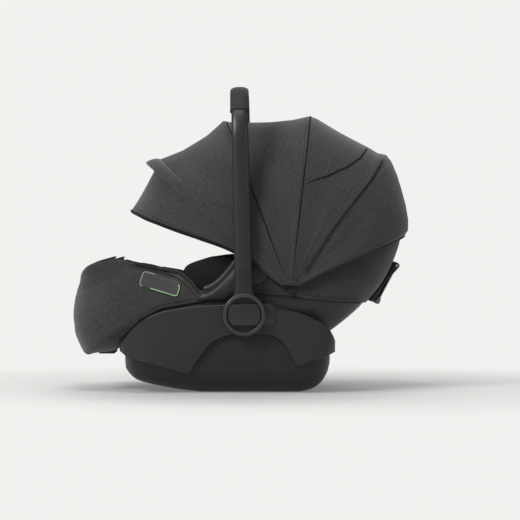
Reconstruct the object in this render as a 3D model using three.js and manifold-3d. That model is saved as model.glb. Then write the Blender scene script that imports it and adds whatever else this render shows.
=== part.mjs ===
// Infant car seat with carry handle, reclining seat and folding canopy. Millimetres, +Z up.
// +X points to the head end, -Y is the child's left. The origin is the middle of the flat underside.
import * as THREE from "three";
import { mergeVertices } from "three/addons/utils/BufferGeometryUtils.js";
import Module from "manifold-3d";

const wasm = await Module();
wasm.setup();

// ---------------------------------------------------------------- driving dimensions
const GAP = 0.4; // between pieces that touch
const HUB = { x: 0, z: 150 }; // the axis that the handle and the seat turn about
const LEFT = -1;
const RIGHT = 1;

// Carrier: a rocker tub with arched sides, and a shell over each side.
const TUB_HALF_WIDTH = 189.5;
const TUB_WALL = 3.5;
const TUB_FRONT = -233;
const TUB_REAR = 168;
const TUB_CORNER = 52; // radius where the floor turns up into the sides
const SHELL_THICKNESS = 9;
const SHELL_LAP = 5; // how far the side shell stands above the tub's wall
const SHELL_END_GAP = 62; // half of the bare stretch at each end of the tub
const LATCH = { x: [-120, 105], cup: 33, wide: 189 }; // pockets in the floor, each with a steel bar
const ARCH = [
  [-242, 82], [-228, 107], [-199, 136], [-161, 155], [-85, 167], [0, 170], [91, 157], [123, 147],
  [152, 133], [166, 118], [175, 99], [180, 80],
];
const ROCKER = [
  [-242, 70], [-233, 50], [-222, 34], [-205, 22], [-160, 11], [-110, 3], [-75, 0], [100, 0], [128, 5],
  [146, 16], [160, 36], [168, 60], [180, 74],
];

// Handle: an upright oval tube that ends in a hub ring on each side.
const CANOPY_HALF_WIDTH = 195;
// the arms stand clear of whichever is wider, the tub with its shells or the canopy
const ARM_Y = Math.max(TUB_HALF_WIDTH + 21.5, CANOPY_HALF_WIDTH + 16);
const TUBE = { wide: 31.5, thick: 14 };
const GRIP_WALL = 2.2;
const SOCKET = { wide: 35, thick: 16.5, top: 234 };
const RING = { outer: 41, inner: 33.2, low: ARM_Y - 5.5, high: ARM_Y + 8.5 };
const WEB = 3.2; // disc inside the ring
const CROSSBAR_Z = 581;
const HANDLE_BEND = 95;
const GRIP_FROM_Z = 539;
const HANDLE_LEAN = -1.3; // degrees, towards the foot end
const PIN = { outer: 8, inner: 5.6 };
const BUTTON = { half: 20.5, plate: 4, stem: 5 };

// Seat bucket: layers that follow one outline, seen from the side as rays from SEAT_CENTRE.
const SEAT_CENTRE = { x: 0, z: 330 };
const SEAT_SHELL = 3.5;
const COVER_CLEAR = 0.8;
const COVER = 3.6;
const LINER_SIDE = 12;
const LINER_FLOOR = 20;
const PAD = 10;
const SEAT_CORNER = 92;
const BUCKET = [
  [-246, 257], [-284, 243], [-309, 214], [-321, 178], [-324, 142], [-315, 113], [-295, 92], [-250, 82],
  [-190, 67], [-100, 53], [0, 49], [90, 68], [165, 114], [231, 170], [266, 213], [291, 260], [303, 300],
  [300, 344],
];
const RIM = [
  [-246, 257], [-184, 243], [-122, 228], [-87, 209], [-68, 195], [-20, 247], [0, 261], [21, 273], [47, 287],
  [110, 314], [180, 331], [245, 337], [300, 344],
];
const SITTING = [
  [-246, 250], [-200, 222], [-120, 176], [-40, 140], [30, 122], [110, 145], [160, 187], [230, 246],
  [280, 288], [289, 344],
];
const SEAT_HALF_WIDTH = [
  [196, 138], [215, 150], [232, 162], [250, 172], [270, 175], [310, 175], [330, 168], [345, 150],
  [355, 132], [363, 112],
];

// Canopy: cloth over bows that turn about one axis on the seat's sides.
const CANOPY_PIVOT = { x: 88, z: 194 };
const CLOTH = 2.4;
const CANOPY_FOOT = 20; // the cloth starts this far from its pivot
const CANOPY_SQUARENESS = 3.2;
const CANOPY = [
  [25, 246], [28, 257], [31, 269], [41, 290], [50.5, 320], [54.5, 327], [61, 323], [72.5, 330], [83.2, 347],
  [93.5, 338], [103, 344], [110.5, 359], [117, 353], [126, 353], [134.5, 361], [138, 362], [146, 352],
  [153.3, 347],
];
const BOW_ANGLE = { rear: 83.2, middle: 110.5, front: 138, visor: 152.6 };
const BOW = { wide: 8, thick: 1.6, eye: 9, pin: 5 };
const HOOD_EDGE = 25.5; // lower edge of the fixed rear panel
const CLOTH_GAP = 1.1; // degrees, between panels, where they are sewn over a bow

// Rear release handle, headrest and harness.
const RELEASE = { top: [299, 243], bottom: [260, 170], halfWidth: 62, strip: 3, grip: 8 };
const BACK_SLOPE = Math.atan2(246 - 145, 230 - 110);
const WEBBING = { wide: 34, thick: 2.2 };
const SHOULDER_PAD = { wide: 50, thick: 11, from: 48, to: 132 };
const STRAP_SPREAD = { top: 40, buckle: 25 }; // half the distance between the shoulder straps
const BUCKLE = { x: -36, z: 176, tilt: 12, long: 58, wide: 50, thick: 20, button: 24 };
const ADJUSTER = { x: -178, z: 209.5, tilt: -28, long: 40, wide: 46, thick: 12 };
const HEADREST = { from: 66, long: 110, wide: 92, shell: 3.2, pad: 14 };
const INSERT = 13;
const RIM_ROLL = 5.6;

// ---------------------------------------------------------------- shapes
const radians = THREE.MathUtils.degToRad;

// A smooth function through [x, y] points, flat past its ends, with no overshoot.
function smooth(points) {
  const n = points.length;
  const rise = points.slice(1).map((p, i) => (p[1] - points[i][1]) / (p[0] - points[i][0]));
  const slope = points.map((_, i) => {
    if (i === 0) return rise[0];
    if (i === n - 1) return rise[n - 2];
    const [a, b] = [rise[i - 1], rise[i]];
    return a * b <= 0 ? 0 : (2 * a * b) / (a + b);
  });
  return (x) => {
    if (x <= points[0][0]) return points[0][1];
    if (x >= points[n - 1][0]) return points[n - 1][1];
    const i = points.findIndex((p) => p[0] > x) - 1;
    const [x0, y0] = points[i];
    const [x1, y1] = points[i + 1];
    const h = x1 - x0;
    const t = (x - x0) / h;
    const s = 1 - t;
    const rise = slope[i] * h * t * s * s - slope[i + 1] * h * t * t * s;
    return y0 * (1 + 2 * t) * s * s + y1 * t * t * (3 - 2 * t) + rise;
  };
}

// A side-view outline as distance from SEAT_CENTRE against the angle of the ray, in degrees.
function rayProfile(outline) {
  return smooth(
    outline.map(([x, z]) => {
      const angle = (Math.atan2(z - SEAT_CENTRE.z, x - SEAT_CENTRE.x) * 180) / Math.PI;
      return [angle < 90 ? angle + 360 : angle, Math.hypot(x - SEAT_CENTRE.x, z - SEAT_CENTRE.z)];
    }),
  );
}

// Joins rings of equal length, [x, y, z] points each, into a closed body with a fan over each end.
function loft(rings) {
  const n = rings[0].length;
  const positions = rings.flat(2);
  const index = [];
  for (let i = 0; i + 1 < rings.length; i++) {
    for (let j = 0; j < n; j++) {
      const [a, b] = [i * n + j, i * n + ((j + 1) % n)];
      index.push(a, b, a + n, b, b + n, a + n);
    }
  }
  for (const [ring, start, turned] of [
    [rings[0], 0, true],
    [rings[rings.length - 1], (rings.length - 1) * n, false],
  ]) {
    const middle = [0, 1, 2].map((k) => ring.reduce((sum, p) => sum + p[k], 0) / n);
    const centre = positions.length / 3;
    positions.push(...middle);
    for (let j = 0; j < n; j++) {
      const [a, b] = [start + j, start + ((j + 1) % n)];
      index.push(...(turned ? [b, a, centre] : [a, b, centre]));
    }
  }
  return closed(positions, index);
}

// A layer between two grids of points, grid[i][j] = [x, y, z]. Both faces are split into triangles
// along the same diagonals, so that neighbouring layers stay apart.
function bandLoft(outer, inner) {
  const rings = outer.map((row, i) => [...row, ...inner[i].slice().reverse()]);
  const n = rings[0].length;
  const index = [];
  for (let i = 0; i + 1 < rings.length; i++) {
    for (let j = 0; j < n; j++) {
      const [a, b] = [i * n + j, i * n + ((j + 1) % n)];
      index.push(...(j < n / 2 ? [a, b, a + n, b, b + n, a + n] : [a, b, b + n, a, b + n, a + n]));
    }
  }
  const last = (rings.length - 1) * n;
  for (let j = 0; j + 1 < n / 2; j++) {
    const [a, b, c, d] = [j, j + 1, n - 2 - j, n - 1 - j];
    index.push(a, d, b, b, d, c);
    index.push(last + a, last + b, last + d, last + b, last + c, last + d);
  }
  return closed(rings.flat(2), index);
}

function closed(positions, index) {
  const geometry = new THREE.BufferGeometry();
  geometry.setAttribute("position", new THREE.Float32BufferAttribute(positions, 3));
  geometry.setIndex(index);
  return geometry;
}

// A geometry as a manifold-3d solid, turned to face out.
function solid(geometry) {
  const bare = geometry.clone();
  bare.deleteAttribute("normal");
  bare.deleteAttribute("uv");
  const merged = mergeVertices(bare, 1e-3);
  const triVerts = new Uint32Array(merged.index.array);
  const make = () =>
    new wasm.Manifold(
      new wasm.Mesh({ numProp: 3, vertProperties: merged.attributes.position.array, triVerts }),
    );
  const made = make();
  if (made.volume() >= 0) return made;
  for (let i = 0; i < triVerts.length; i += 3) {
    [triVerts[i + 1], triVerts[i + 2]] = [triVerts[i + 2], triVerts[i + 1]];
  }
  return make();
}

function geometryOf(manifold) {
  const { vertProperties, numProp, numVert, triVerts } = manifold.getMesh();
  const positions = [];
  for (let i = 0; i < numVert; i++) {
    positions.push(...vertProperties.subarray(i * numProp, i * numProp + 3));
  }
  return closed(positions, [...triVerts]).toNonIndexed();
}

// A side-view outline of [x, z] points carried from yLow to yHigh.
function sideExtrude(outline, yLow, yHigh, holes = []) {
  const shape = outline.isShape ? outline : new THREE.Shape(outline.map(([x, z]) => new THREE.Vector2(x, z)));
  shape.holes.push(...holes);
  const depth = yHigh - yLow;
  const geometry = new THREE.ExtrudeGeometry(shape, { depth, bevelEnabled: false, curveSegments: 20 });
  return solid(geometry.rotateX(Math.PI / 2).translate(0, yHigh, 0));
}

function roundHole(radius, x = 0, z = 0) {
  return new THREE.Path().absarc(x, z, radius, 0, 2 * Math.PI, true);
}

// A cylinder along Y between two heights.
function rod(radius, x, z, yLow, yHigh, sides = 16) {
  const geometry = new THREE.CylinderGeometry(radius, radius, yHigh - yLow, sides);
  return solid(geometry.translate(x, (yLow + yHigh) / 2, z));
}

// A tube along Y.
function bush(outer, inner, x, z, yLow, yHigh) {
  return rod(outer, x, z, yLow, yHigh).subtract(rod(inner, x, z, yLow - 1, yHigh + 1));
}

function box(x, y, z, wide, deep, high) {
  return solid(new THREE.BoxGeometry(wide, deep, high).translate(x, y, z));
}

// A box with rounded edges in one plane, by its size and edge radius, about its own centre.
function roundedBlock(wide, deep, high, radius) {
  const [w, d] = [wide / 2 - radius, deep / 2 - radius];
  const shape = new THREE.Shape()
    .moveTo(-w, -d - radius)
    .lineTo(w, -d - radius)
    .absarc(w, -d, radius, -Math.PI / 2, 0)
    .absarc(w, d, radius, 0, Math.PI / 2)
    .absarc(-w, d, radius, Math.PI / 2, Math.PI)
    .absarc(-w, -d, radius, Math.PI, 1.5 * Math.PI);
  const geometry = new THREE.ExtrudeGeometry(shape, {
    depth: high - 2 * radius * 0.5,
    bevelThickness: radius * 0.5,
    bevelSize: radius * 0.5,
    bevelOffset: -radius * 0.5,
    bevelSegments: 1,
    curveSegments: 2,
  });
  return geometry.translate(0, 0, -(high - radius) / 2);
}

// The points of a U: up one side, round the corners, along the bottom and up the other side.
function uSection(halfWidth, top, bottom, r, steps = 3) {
  const down = Math.sign(bottom - top);
  const side = [];
  for (let i = 0; i <= steps; i++) {
    const a = (i / steps) * (Math.PI / 2);
    side.push([halfWidth - r + r * Math.cos(a), bottom - down * (r - r * Math.sin(a))]);
  }
  const half = [[halfWidth, top], ...side];
  return [...half, [0, bottom], ...half.map(([y, d]) => [-y, d]).reverse()];
}

// An oval section of n points.
function oval(wide, thick, n = 12) {
  const power = 0.8;
  return Array.from({ length: n }, (_, i) => {
    const a = (i / n) * 2 * Math.PI;
    const bend = (v) => Math.sign(v) * Math.abs(v) ** power;
    return [(wide / 2) * bend(Math.cos(a)), (thick / 2) * bend(Math.sin(a))];
  });
}

// A flat strap of the given section along a path of [x, y, z] points; across is its width direction.
function strap(path, wide, thick, across) {
  const points = path.map((p) => new THREE.Vector3(...p));
  const curve = new THREE.CatmullRomCurve3(points, false, "centripetal");
  const steps = 5 * (points.length - 1);
  const rings = [];
  for (let i = 0; i <= steps; i++) {
    const along = curve.getTangentAt(i / steps);
    const side = new THREE.Vector3(...across);
    side.addScaledVector(along, -side.dot(along)).normalize();
    const up = new THREE.Vector3().crossVectors(along, side);
    const p = curve.getPointAt(i / steps);
    const corners = [[-1, -1], [1, -1], [1, 1], [-1, 1]];
    rings.push(
      corners.map(([a, b]) =>
        p.clone().addScaledVector(side, (a * wide) / 2).addScaledVector(up, (b * thick) / 2).toArray(),
      ),
    );
  }
  return loft(rings);
}

// ---------------------------------------------------------------- the group
const seat = new THREE.Group();

function add(name, shape, color, roughness = 0.6, metalness = 0) {
  const geometry = shape.isBufferGeometry ? shape : geometryOf(shape);
  geometry.computeVertexNormals();
  const mesh = new THREE.Mesh(geometry, new THREE.MeshStandardMaterial({ color, roughness, metalness }));
  mesh.name = name;
  seat.add(mesh);
  return mesh;
}

const COLOR = {
  plastic: 0x1d1d1e,
  side: 0x242425,
  metalTube: 0x2a2a2b,
  leather: 0x1c1b1c,
  cloth: 0x2b2b29,
  lining: 0x141414,
  webbing: 0x1a1a1a,
  steel: 0x8a8c90,
  foam: 0x3a3a3c,
  red: 0xb3202a,
};

const sideName = (side) => (side === LEFT ? "left" : "right");

// ---------------------------------------------------------------- carrier
const archHeight = smooth(ARCH);
const rockerHeight = smooth(ROCKER);
const TUB_MIDDLE = (TUB_FRONT + TUB_REAR) / 2;
const TUB_HALF_LENGTH = (TUB_REAR - TUB_FRONT) / 2;
const TUB_PLAN = 9; // how square the tub is from above
const TUB_END_SHARE = 0.985; // the plan is cut flat at this share of its half length

// The tub's outer volume, grown by offset on every side, up to topLift over the arch.
function tubVolume(offset, topLift) {
  const rings = [];
  const stations = 16;
  for (let i = 0; i <= stations; i++) {
    const share = -Math.cos((Math.PI * i) / stations) * TUB_END_SHARE;
    const x = TUB_MIDDLE + share * (TUB_HALF_LENGTH + offset);
    const w = (TUB_HALF_WIDTH + offset) * (1 - Math.abs(share) ** TUB_PLAN) ** (1 / TUB_PLAN);
    const [top, bottom] = [archHeight(x) + topLift, rockerHeight(x) - offset];
    const corner = Math.min(TUB_CORNER, 0.7 * (archHeight(x) - rockerHeight(x))) + offset;
    const section = uSection(w, top, bottom, corner);
    rings.push(section.map(([y, z]) => [x, y, z]));
  }
  return solid(loft(rings));
}

function carrier() {
  const latchX = LATCH.x;
  let tub = tubVolume(0, -SHELL_LAP).subtract(tubVolume(-TUB_WALL, 60));
  tub = tub.subtract(rod(SEAT_STUB + 0.5, HUB.x, HUB.z, -300, 300));
  const ends = box(TUB_REAR + 8, 0, 118, 76, 336, 112).add(box(TUB_FRONT - 2, 0, 118, 44, 300, 100));
  tub = tub.subtract(ends); // leaves room for the seat, upright and reclined
  for (const [name, x] of [["front", latchX[0]], ["rear", latchX[1]]]) {
    const bottom = rockerHeight(x);
    const cup = box(x, 0, bottom + 15, LATCH.cup, LATCH.wide, 30 - TUB_WALL);
    const room = box(x, 0, bottom + 8, LATCH.cup - 5, LATCH.wide - 5, 34);
    tub = tub.add(cup).subtract(room);
    const barEnd = LATCH.wide / 2 - 2.9;
    add(`latch_bar_${name}`, rod(5, x, bottom + 15, -barEnd, barEnd), COLOR.steel, 0.35, 1);
  }
  add("carrier_tub", tub, COLOR.plastic);

  const lowerEdge = [
    [-262, 94], [-241, 81], [-223, 67], [-105, 36], [-95, 54], [-77, 79], [-60, 96], [-42, 106], [-20, 110],
    [40, 110], [58, 107], [71, 98], [81, 85], [95, 61], [101, 50], [154, 68], [178, 79], [200, 88],
  ];
  const coverOutline = [...lowerEdge, [200, 220], [-262, 220]];
  for (const side of [LEFT, RIGHT]) {
    let cover = tubVolume(SHELL_THICKNESS + COVER_CLEAR, 0).subtract(tubVolume(COVER_CLEAR, 40));
    const [near, far] = side === LEFT ? [-260, -SHELL_END_GAP] : [SHELL_END_GAP, 260];
    cover = cover.intersect(sideExtrude(coverOutline, near, far)).subtract(ends);
    cover = cover.subtract(rod(PIN.outer + 0.6, HUB.x, HUB.z, -260, 260));
    add(`side_shell_${sideName(side)}`, cover, COLOR.side, 0.5);
  }
}

// ---------------------------------------------------------------- handle
const SEAT_STUB = 9; // radius of the stubs that the seat reclines on

// The centre line of the handle, [y, z], from one hub to the other.
function handlePath() {
  const path = [[ARM_Y, HUB.z + 44], [ARM_Y, 330]];
  const steps = 6;
  for (let i = 0; i <= steps; i++) {
    const a = (i / steps) * (Math.PI / 2);
    path.push([
      ARM_Y - HANDLE_BEND + HANDLE_BEND * Math.cos(a),
      CROSSBAR_Z - HANDLE_BEND + HANDLE_BEND * Math.sin(a),
    ]);
  }
  return [...path, ...path.map(([y, z]) => [-y, z]).reverse()];
}

// A section of [x, n] points carried along a [y, z] path; n is across the path in its plane.
function alongHandle(path, section) {
  return path.map(([y, z], i) => {
    const [ay, az] = path[Math.max(i - 1, 0)];
    const [by, bz] = path[Math.min(i + 1, path.length - 1)];
    const length = Math.hypot(by - ay, bz - az);
    const [ny, nz] = [-(bz - az) / length, (by - ay) / length];
    return section.map(([x, n]) => [x, y + n * ny, z + n * nz]);
  });
}

function handle() {
  const group = new THREE.Group();
  group.position.set(HUB.x, 0, HUB.z);
  group.rotation.y = radians(HANDLE_LEAN);
  seat.add(group);
  const place = (mesh) => {
    mesh.geometry.translate(-HUB.x, 0, -HUB.z);
    group.add(mesh);
  };
  const path = handlePath();
  const tube = solid(loft(alongHandle(path, oval(TUBE.wide, TUBE.thick))));
  place(add("handle_tube", tube, COLOR.metalTube, 0.35, 0.6));

  const gripPath = path.filter(([, z]) => z > GRIP_FROM_Z);
  const skin = (extra) => loft(alongHandle(gripPath, oval(TUBE.wide + 2 * extra, TUBE.thick + 2 * extra)));
  const long = loft(alongHandle(path, oval(TUBE.wide + 2 * GAP, TUBE.thick + 2 * GAP)));
  place(add("handle_grip", solid(skin(GRIP_WALL)).subtract(solid(long)), COLOR.leather, 0.7));

  for (const side of [LEFT, RIGHT]) {
    const name = sideName(side);
    const [low, high] = [RING.low, RING.high].map((y) => y * side).sort((a, b) => a - b);
    const web = [RING.low, RING.low + WEB].map((y) => y * side).sort((a, b) => a - b);
    const recess = [RING.low + WEB, RING.high + 20].map((y) => y * side).sort((a, b) => a - b);
    const ring = rod(RING.outer, HUB.x, HUB.z, low, high, 24).subtract(
      rod(RING.inner, HUB.x, HUB.z, -300, 300, 24),
    );
    const disc = bush(RING.inner + 2, PIN.outer + 0.4, HUB.x, HUB.z, ...web);
    const sleeveAt = (z, wide, thick) => oval(wide, thick).map(([x, n]) => [x, ARM_Y * side + n, z]);
    const sleeve = solid(
      loft([
        sleeveAt(HUB.z + 35, SOCKET.wide + 6, RING.high - RING.low),
        sleeveAt(HUB.z + 46, SOCKET.wide, SOCKET.thick),
        sleeveAt(SOCKET.top, SOCKET.wide, SOCKET.thick),
      ]),
    );
    const socket = ring
      .add(disc)
      .add(sleeve)
      .subtract(rod(RING.inner, HUB.x, HUB.z, ...recess))
      .subtract(solid(long));
    place(add(`handle_socket_${name}`, socket, COLOR.plastic, 0.45));

    const pinSpan = [TUB_HALF_WIDTH + GAP, RING.low + WEB + 0.6].map((y) => y * side).sort((a, b) => a - b);
    add(`handle_pivot_${name}`, bush(PIN.outer, PIN.inner, HUB.x, HUB.z, ...pinSpan), COLOR.steel, 0.35, 1);

    const plateLow = RING.high - 2 - BUTTON.plate;
    const plateSpan = [plateLow, RING.high - 2].map((y) => y * side).sort((a, b) => a - b);
    const stemSpan = [plateLow - 9, plateLow + 1].map((y) => y * side).sort((a, b) => a - b);
    const plate = rod(RING.inner - 0.7, HUB.x, HUB.z, ...plateSpan, 32).intersect(
      box(HUB.x, ARM_Y * side, HUB.z, 90, 60, 2 * BUTTON.half),
    );
    add(
      `handle_button_${name}`,
      plate.add(rod(BUTTON.stem, HUB.x, HUB.z, ...stemSpan)),
      COLOR.side,
      0.5,
    );
    const springSpan = [TUB_HALF_WIDTH + GAP + 0.5, plateLow - 9.6].map((y) => y * side);
    add(`handle_button_spring_${name}`, spring(HUB.x, HUB.z, ...springSpan), COLOR.steel, 0.3, 1);
    add(`belt_guide_${name}`, beltGuide(side), COLOR.plastic, 0.5);
  }
}

// A coil spring along Y.
function spring(x, z, from, to) {
  const turns = 3;
  class Coil extends THREE.Curve {
    getPoint(t) {
      const a = 2 * Math.PI * turns * t;
      return new THREE.Vector3(x + 4 * Math.cos(a), from + (to - from) * t, z + 4 * Math.sin(a));
    }
  }
  const wire = new THREE.Shape().absarc(0, 0, 0.7, 0, 2 * Math.PI);
  const carried = { steps: 8 * turns, extrudePath: new Coil(), curveSegments: 2.5 };
  return solid(new THREE.ExtrudeGeometry(wire, carried));
}

// The block behind the ring that ends in a chamfered tab and guides the vehicle's lap belt.
function beltGuide(side) {
  const [low, high] = [HUB.z + 1 - BUTTON.half, HUB.z + 1 + BUTTON.half];
  const [start, end, chamfer] = [HUB.x - 24, HUB.x + 58, 6];
  const outline = [
    [start, low], [end - chamfer, low], [end, low + chamfer], [end, high - chamfer], [end - chamfer, high],
    [start, high],
  ];
  const faceOut = TUB_HALF_WIDTH + COVER_CLEAR + SHELL_THICKNESS + GAP;
  const span = [faceOut, ARM_Y - SOCKET.thick / 2 - 0.5].map((y) => y * side).sort((a, b) => a - b);
  return sideExtrude(outline, ...span, [roundHole(PIN.outer + 0.6, HUB.x, HUB.z)]);
}

// ---------------------------------------------------------------- seat bucket
const bucketReach = rayProfile(BUCKET);
const rimReach = rayProfile(RIM);
const sittingReach = rayProfile(SITTING);
const seatHalfWidth = smooth(SEAT_HALF_WIDTH);
const FOOT_RAY = 197;
const HEAD_RAY = 362.4;

// The rays that a layer's sections lie on: close together round the foot end and the head end.
function rays(from, to) {
  const all = [];
  for (let a = FOOT_RAY; a < 223; a += 4.5) all.push(a);
  for (let a = 226; a < 342; a += 12) all.push(a);
  for (let a = 344; a < HEAD_RAY - 1; a += 6) all.push(a);
  return [from, ...all.filter((a) => a > from + 1.2 && a < to - 1.2), to];
}

function rayPoint(angle, reach, y) {
  const a = radians(angle);
  return [SEAT_CENTRE.x + reach * Math.cos(a), y, SEAT_CENTRE.z + reach * Math.sin(a)];
}

// One layer of the bucket between two surfaces; each gives floor, rim and half width at a ray.
function seatLayer(outer, inner, from = FOOT_RAY, to = HEAD_RAY) {
  const grid = (surface) =>
    rays(from, to).map((angle) => {
      const { floor, rim, width, corner } = surface(angle);
      return uSection(width, rim, floor, corner).map(([y, reach]) => rayPoint(angle, reach, y));
    });
  return solid(bandLoft(grid(outer), grid(inner)));
}

// The radius between a layer's floor and sides; it shrinks where the bucket gets shallow.
function cornerAt(angle) {
  return Math.min(SEAT_CORNER, 0.72 * (bucketReach(angle) - rimReach(angle)));
}

// The bucket's outer face, grown by offset; the rim moves up by lift.
const bucketFace = (offset, lift = 0) => (angle) => ({
  floor: bucketReach(angle) + offset,
  rim: Math.min(rimReach(angle) - lift, bucketReach(angle) + offset - 2),
  width: seatHalfWidth(angle) + offset,
  corner: Math.max(cornerAt(angle) + offset, 1),
});

// The face that the child's side of a layer follows, inset from the shell's sides.
const sittingFace = (below, inset, lift = 0) => (angle) => {
  const floor = Math.min(sittingReach(angle) + below, bucketReach(angle) - SEAT_SHELL - 1);
  const rim = Math.min(rimReach(angle) - lift, floor - 4);
  const depth = Math.max(floor - rimReach(angle), 4);
  const round = Math.min(cornerAt(angle) - inset, 0.8 * depth + 0.2 * below);
  return { floor, rim, width: seatHalfWidth(angle) - inset, corner: Math.max(round, 1) };
};

// A closed body that fills the inside of a face, up to lift above the rim.
function filled(surface, from = FOOT_RAY, to = HEAD_RAY) {
  return solid(
    loft(
      rays(from, to).map((angle) => {
        const { floor, rim, width, corner } = surface(angle);
        return uSection(width, rim, floor, corner).map(([y, reach]) => rayPoint(angle, reach, y));
      }),
    ),
  );
}

function seatBucket() {
  const shell = seatLayer(bucketFace(0), bucketFace(-SEAT_SHELL));
  add("seat_shell", shell, COLOR.side, 0.5);

  const linerIn = SEAT_SHELL + GAP + 1;
  const linerOut = (angle) => {
    const face = bucketFace(-linerIn, -3)(angle);
    return { ...face, floor: Math.min(face.floor, sittingReach(angle) + PAD + 1 + LINER_FLOOR) };
  };
  const liner = seatLayer(linerOut, sittingFace(PAD + 1, linerIn + LINER_SIDE, -3), 206, 356);
  const slots = harnessSlots();
  add("foam_liner", liner.subtract(slots), COLOR.foam, 0.9);

  const padIn = linerIn + LINER_SIDE + GAP;
  const pad = seatLayer(sittingFace(PAD, padIn + 0.4, 1), sittingFace(0, padIn + PAD, 1), 206, 356);
  add("seat_pad", pad.subtract(slots), COLOR.lining, 0.95);

  const insertIn = padIn + PAD + 38;
  const low = (surface, high) => (angle) => {
    const made = surface(angle);
    return { ...made, rim: Math.max(made.rim, made.floor - high) };
  };
  const insert = seatLayer(
    low(sittingFace(-0.5, insertIn), 62),
    low(sittingFace(-0.5 - INSERT, insertIn + INSERT), 60 - INSERT),
    238,
    310,
  );
  add("insert_cushion", insert.subtract(slots), COLOR.lining, 0.95);

  const cover = seatLayer(bucketFace(COVER_CLEAR + COVER, 2), bucketFace(COVER_CLEAR, 2));
  const footRegion = [
    [-340, 60], [-262, 60], [-247, 86], [-240, 99], [-200, 141], [-161, 161], [-85, 174], [-60, 176], [-57, 186],
    [-70, 202], [-120, 300], [-340, 300],
  ];
  add("foot_cover", cover.intersect(sideExtrude(footRegion, -220, 220)), COLOR.cloth, 0.95);
  const backRegion = [
    [-54, 188], [-30, 184], [32, 190], [86, 185], [124, 179], [180, 173], [224, 171], [246, 172], [300, 230],
    [340, 300], [340, 334], [-30, 334], [-66, 204],
  ];
  add("back_cover", cover.intersect(sideExtrude(backRegion, -220, 220)), COLOR.cloth, 0.95);

  for (const side of [LEFT, RIGHT]) {
    const inner = seatHalfWidth(270) + COVER_CLEAR + COVER + GAP;
    const stub = [inner, TUB_HALF_WIDTH].map((y) => y * side).sort((a, b) => a - b);
    add(`recline_stub_${sideName(side)}`, rod(SEAT_STUB, HUB.x, HUB.z, ...stub), COLOR.steel, 0.4, 1);
    const room = filled(sittingFace(-1.5, padIn + PAD + 1.5, 60), 206, 356);
    add(`side_bolster_${sideName(side)}`, bolster(side, padIn + PAD).intersect(room), COLOR.lining, 0.95);
    add(`rim_roll_${sideName(side)}`, rimRoll(side), COLOR.leather, 0.6);
  }
}

// A rounded trim along the bucket's edge on one side.
function rimRoll(side) {
  const rings = [];
  for (const angle of rays(250, 350)) {
    const tip = angle < 251 || angle > 349 ? 0.6 : 1;
    const ring = oval(2 * RIM_ROLL * tip, 2 * RIM_ROLL * tip, 8);
    const reach = rimReach(angle) - RIM_ROLL - 3;
    rings.push(ring.map(([y, d]) => rayPoint(angle, reach + d, side * (seatHalfWidth(angle) - 2.4) + y)));
  }
  return solid(loft(rings));
}

// A padded wing of the insert, inside the rim from the thigh to the shoulder.
function bolster(side, padFace) {
  const top = smooth([
    [-121, 229], [-112, 243], [-96, 251], [-58, 262], [-20, 267], [40, 281], [110, 300], [126, 296],
  ]);
  const bottom = smooth([
    [-121, 222], [-100, 205], [-60, 178], [-20, 166], [40, 168], [100, 196], [126, 224],
  ]);
  const rings = [];
  for (let i = 0; i <= 14; i++) {
    const x = -121 + (247 * (1 - Math.cos((Math.PI * i) / 14))) / 2;
    const [high, low] = [top(x), bottom(x)];
    const thick = 30 * Math.sqrt(Math.sin((Math.PI * (i + 0.6)) / 15.2));
    const middle = side * (seatHalfWidth(290) - padFace - 19.7 - 8 * THREE.MathUtils.smoothstep(x, 50, 126));
    const ring = oval(thick, high - low).map(([y, z]) => [x, middle + y, (high + low) / 2 + z]);
    rings.push(ring);
  }
  return solid(loft(rings));
}

// ---------------------------------------------------------------- harness and headrest
// Places a geometry made about the origin: x along a slope of tilt degrees, z normal to it.
function onSlope(geometry, x, y, z, tilt) {
  return geometry.rotateY(radians(-tilt)).translate(x, y, z);
}

function shoulderPath(side) {
  const y = (share) => side * THREE.MathUtils.lerp(STRAP_SPREAD.buckle, STRAP_SPREAD.top, share);
  const stops = [
    [174, 163, 1], [158, 186, 1], [140, 198, 0.95], [105, 190, 0.8], [58, 176, 0.4], [22, 186, 0],
    [8, 183, 0], [4, 172, 0],
  ];
  return stops.map(([x, z, share]) => [x, y(share), z],
  );
}

const crotchPath = [[-70, 0, 138], [-70, 0, 154], [-73, 0, 164], [-69, 0, 169], [-61, 0, 170.7]];

function shoulderStrap(side, extraWide = 0, extraThick = 0) {
  return solid(strap(shoulderPath(side), WEBBING.wide + extraWide, WEBBING.thick + extraThick, [0, 1, 0]));
}

// What the webbing passes through in the pads and the liner.
function harnessSlots() {
  const crotch = solid(strap(crotchPath, WEBBING.wide + 4, WEBBING.thick + 4, [0, 1, 0]));
  return [LEFT, RIGHT].reduce((all, side) => all.add(shoulderStrap(side, 4, 4)), crotch);
}

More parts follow.
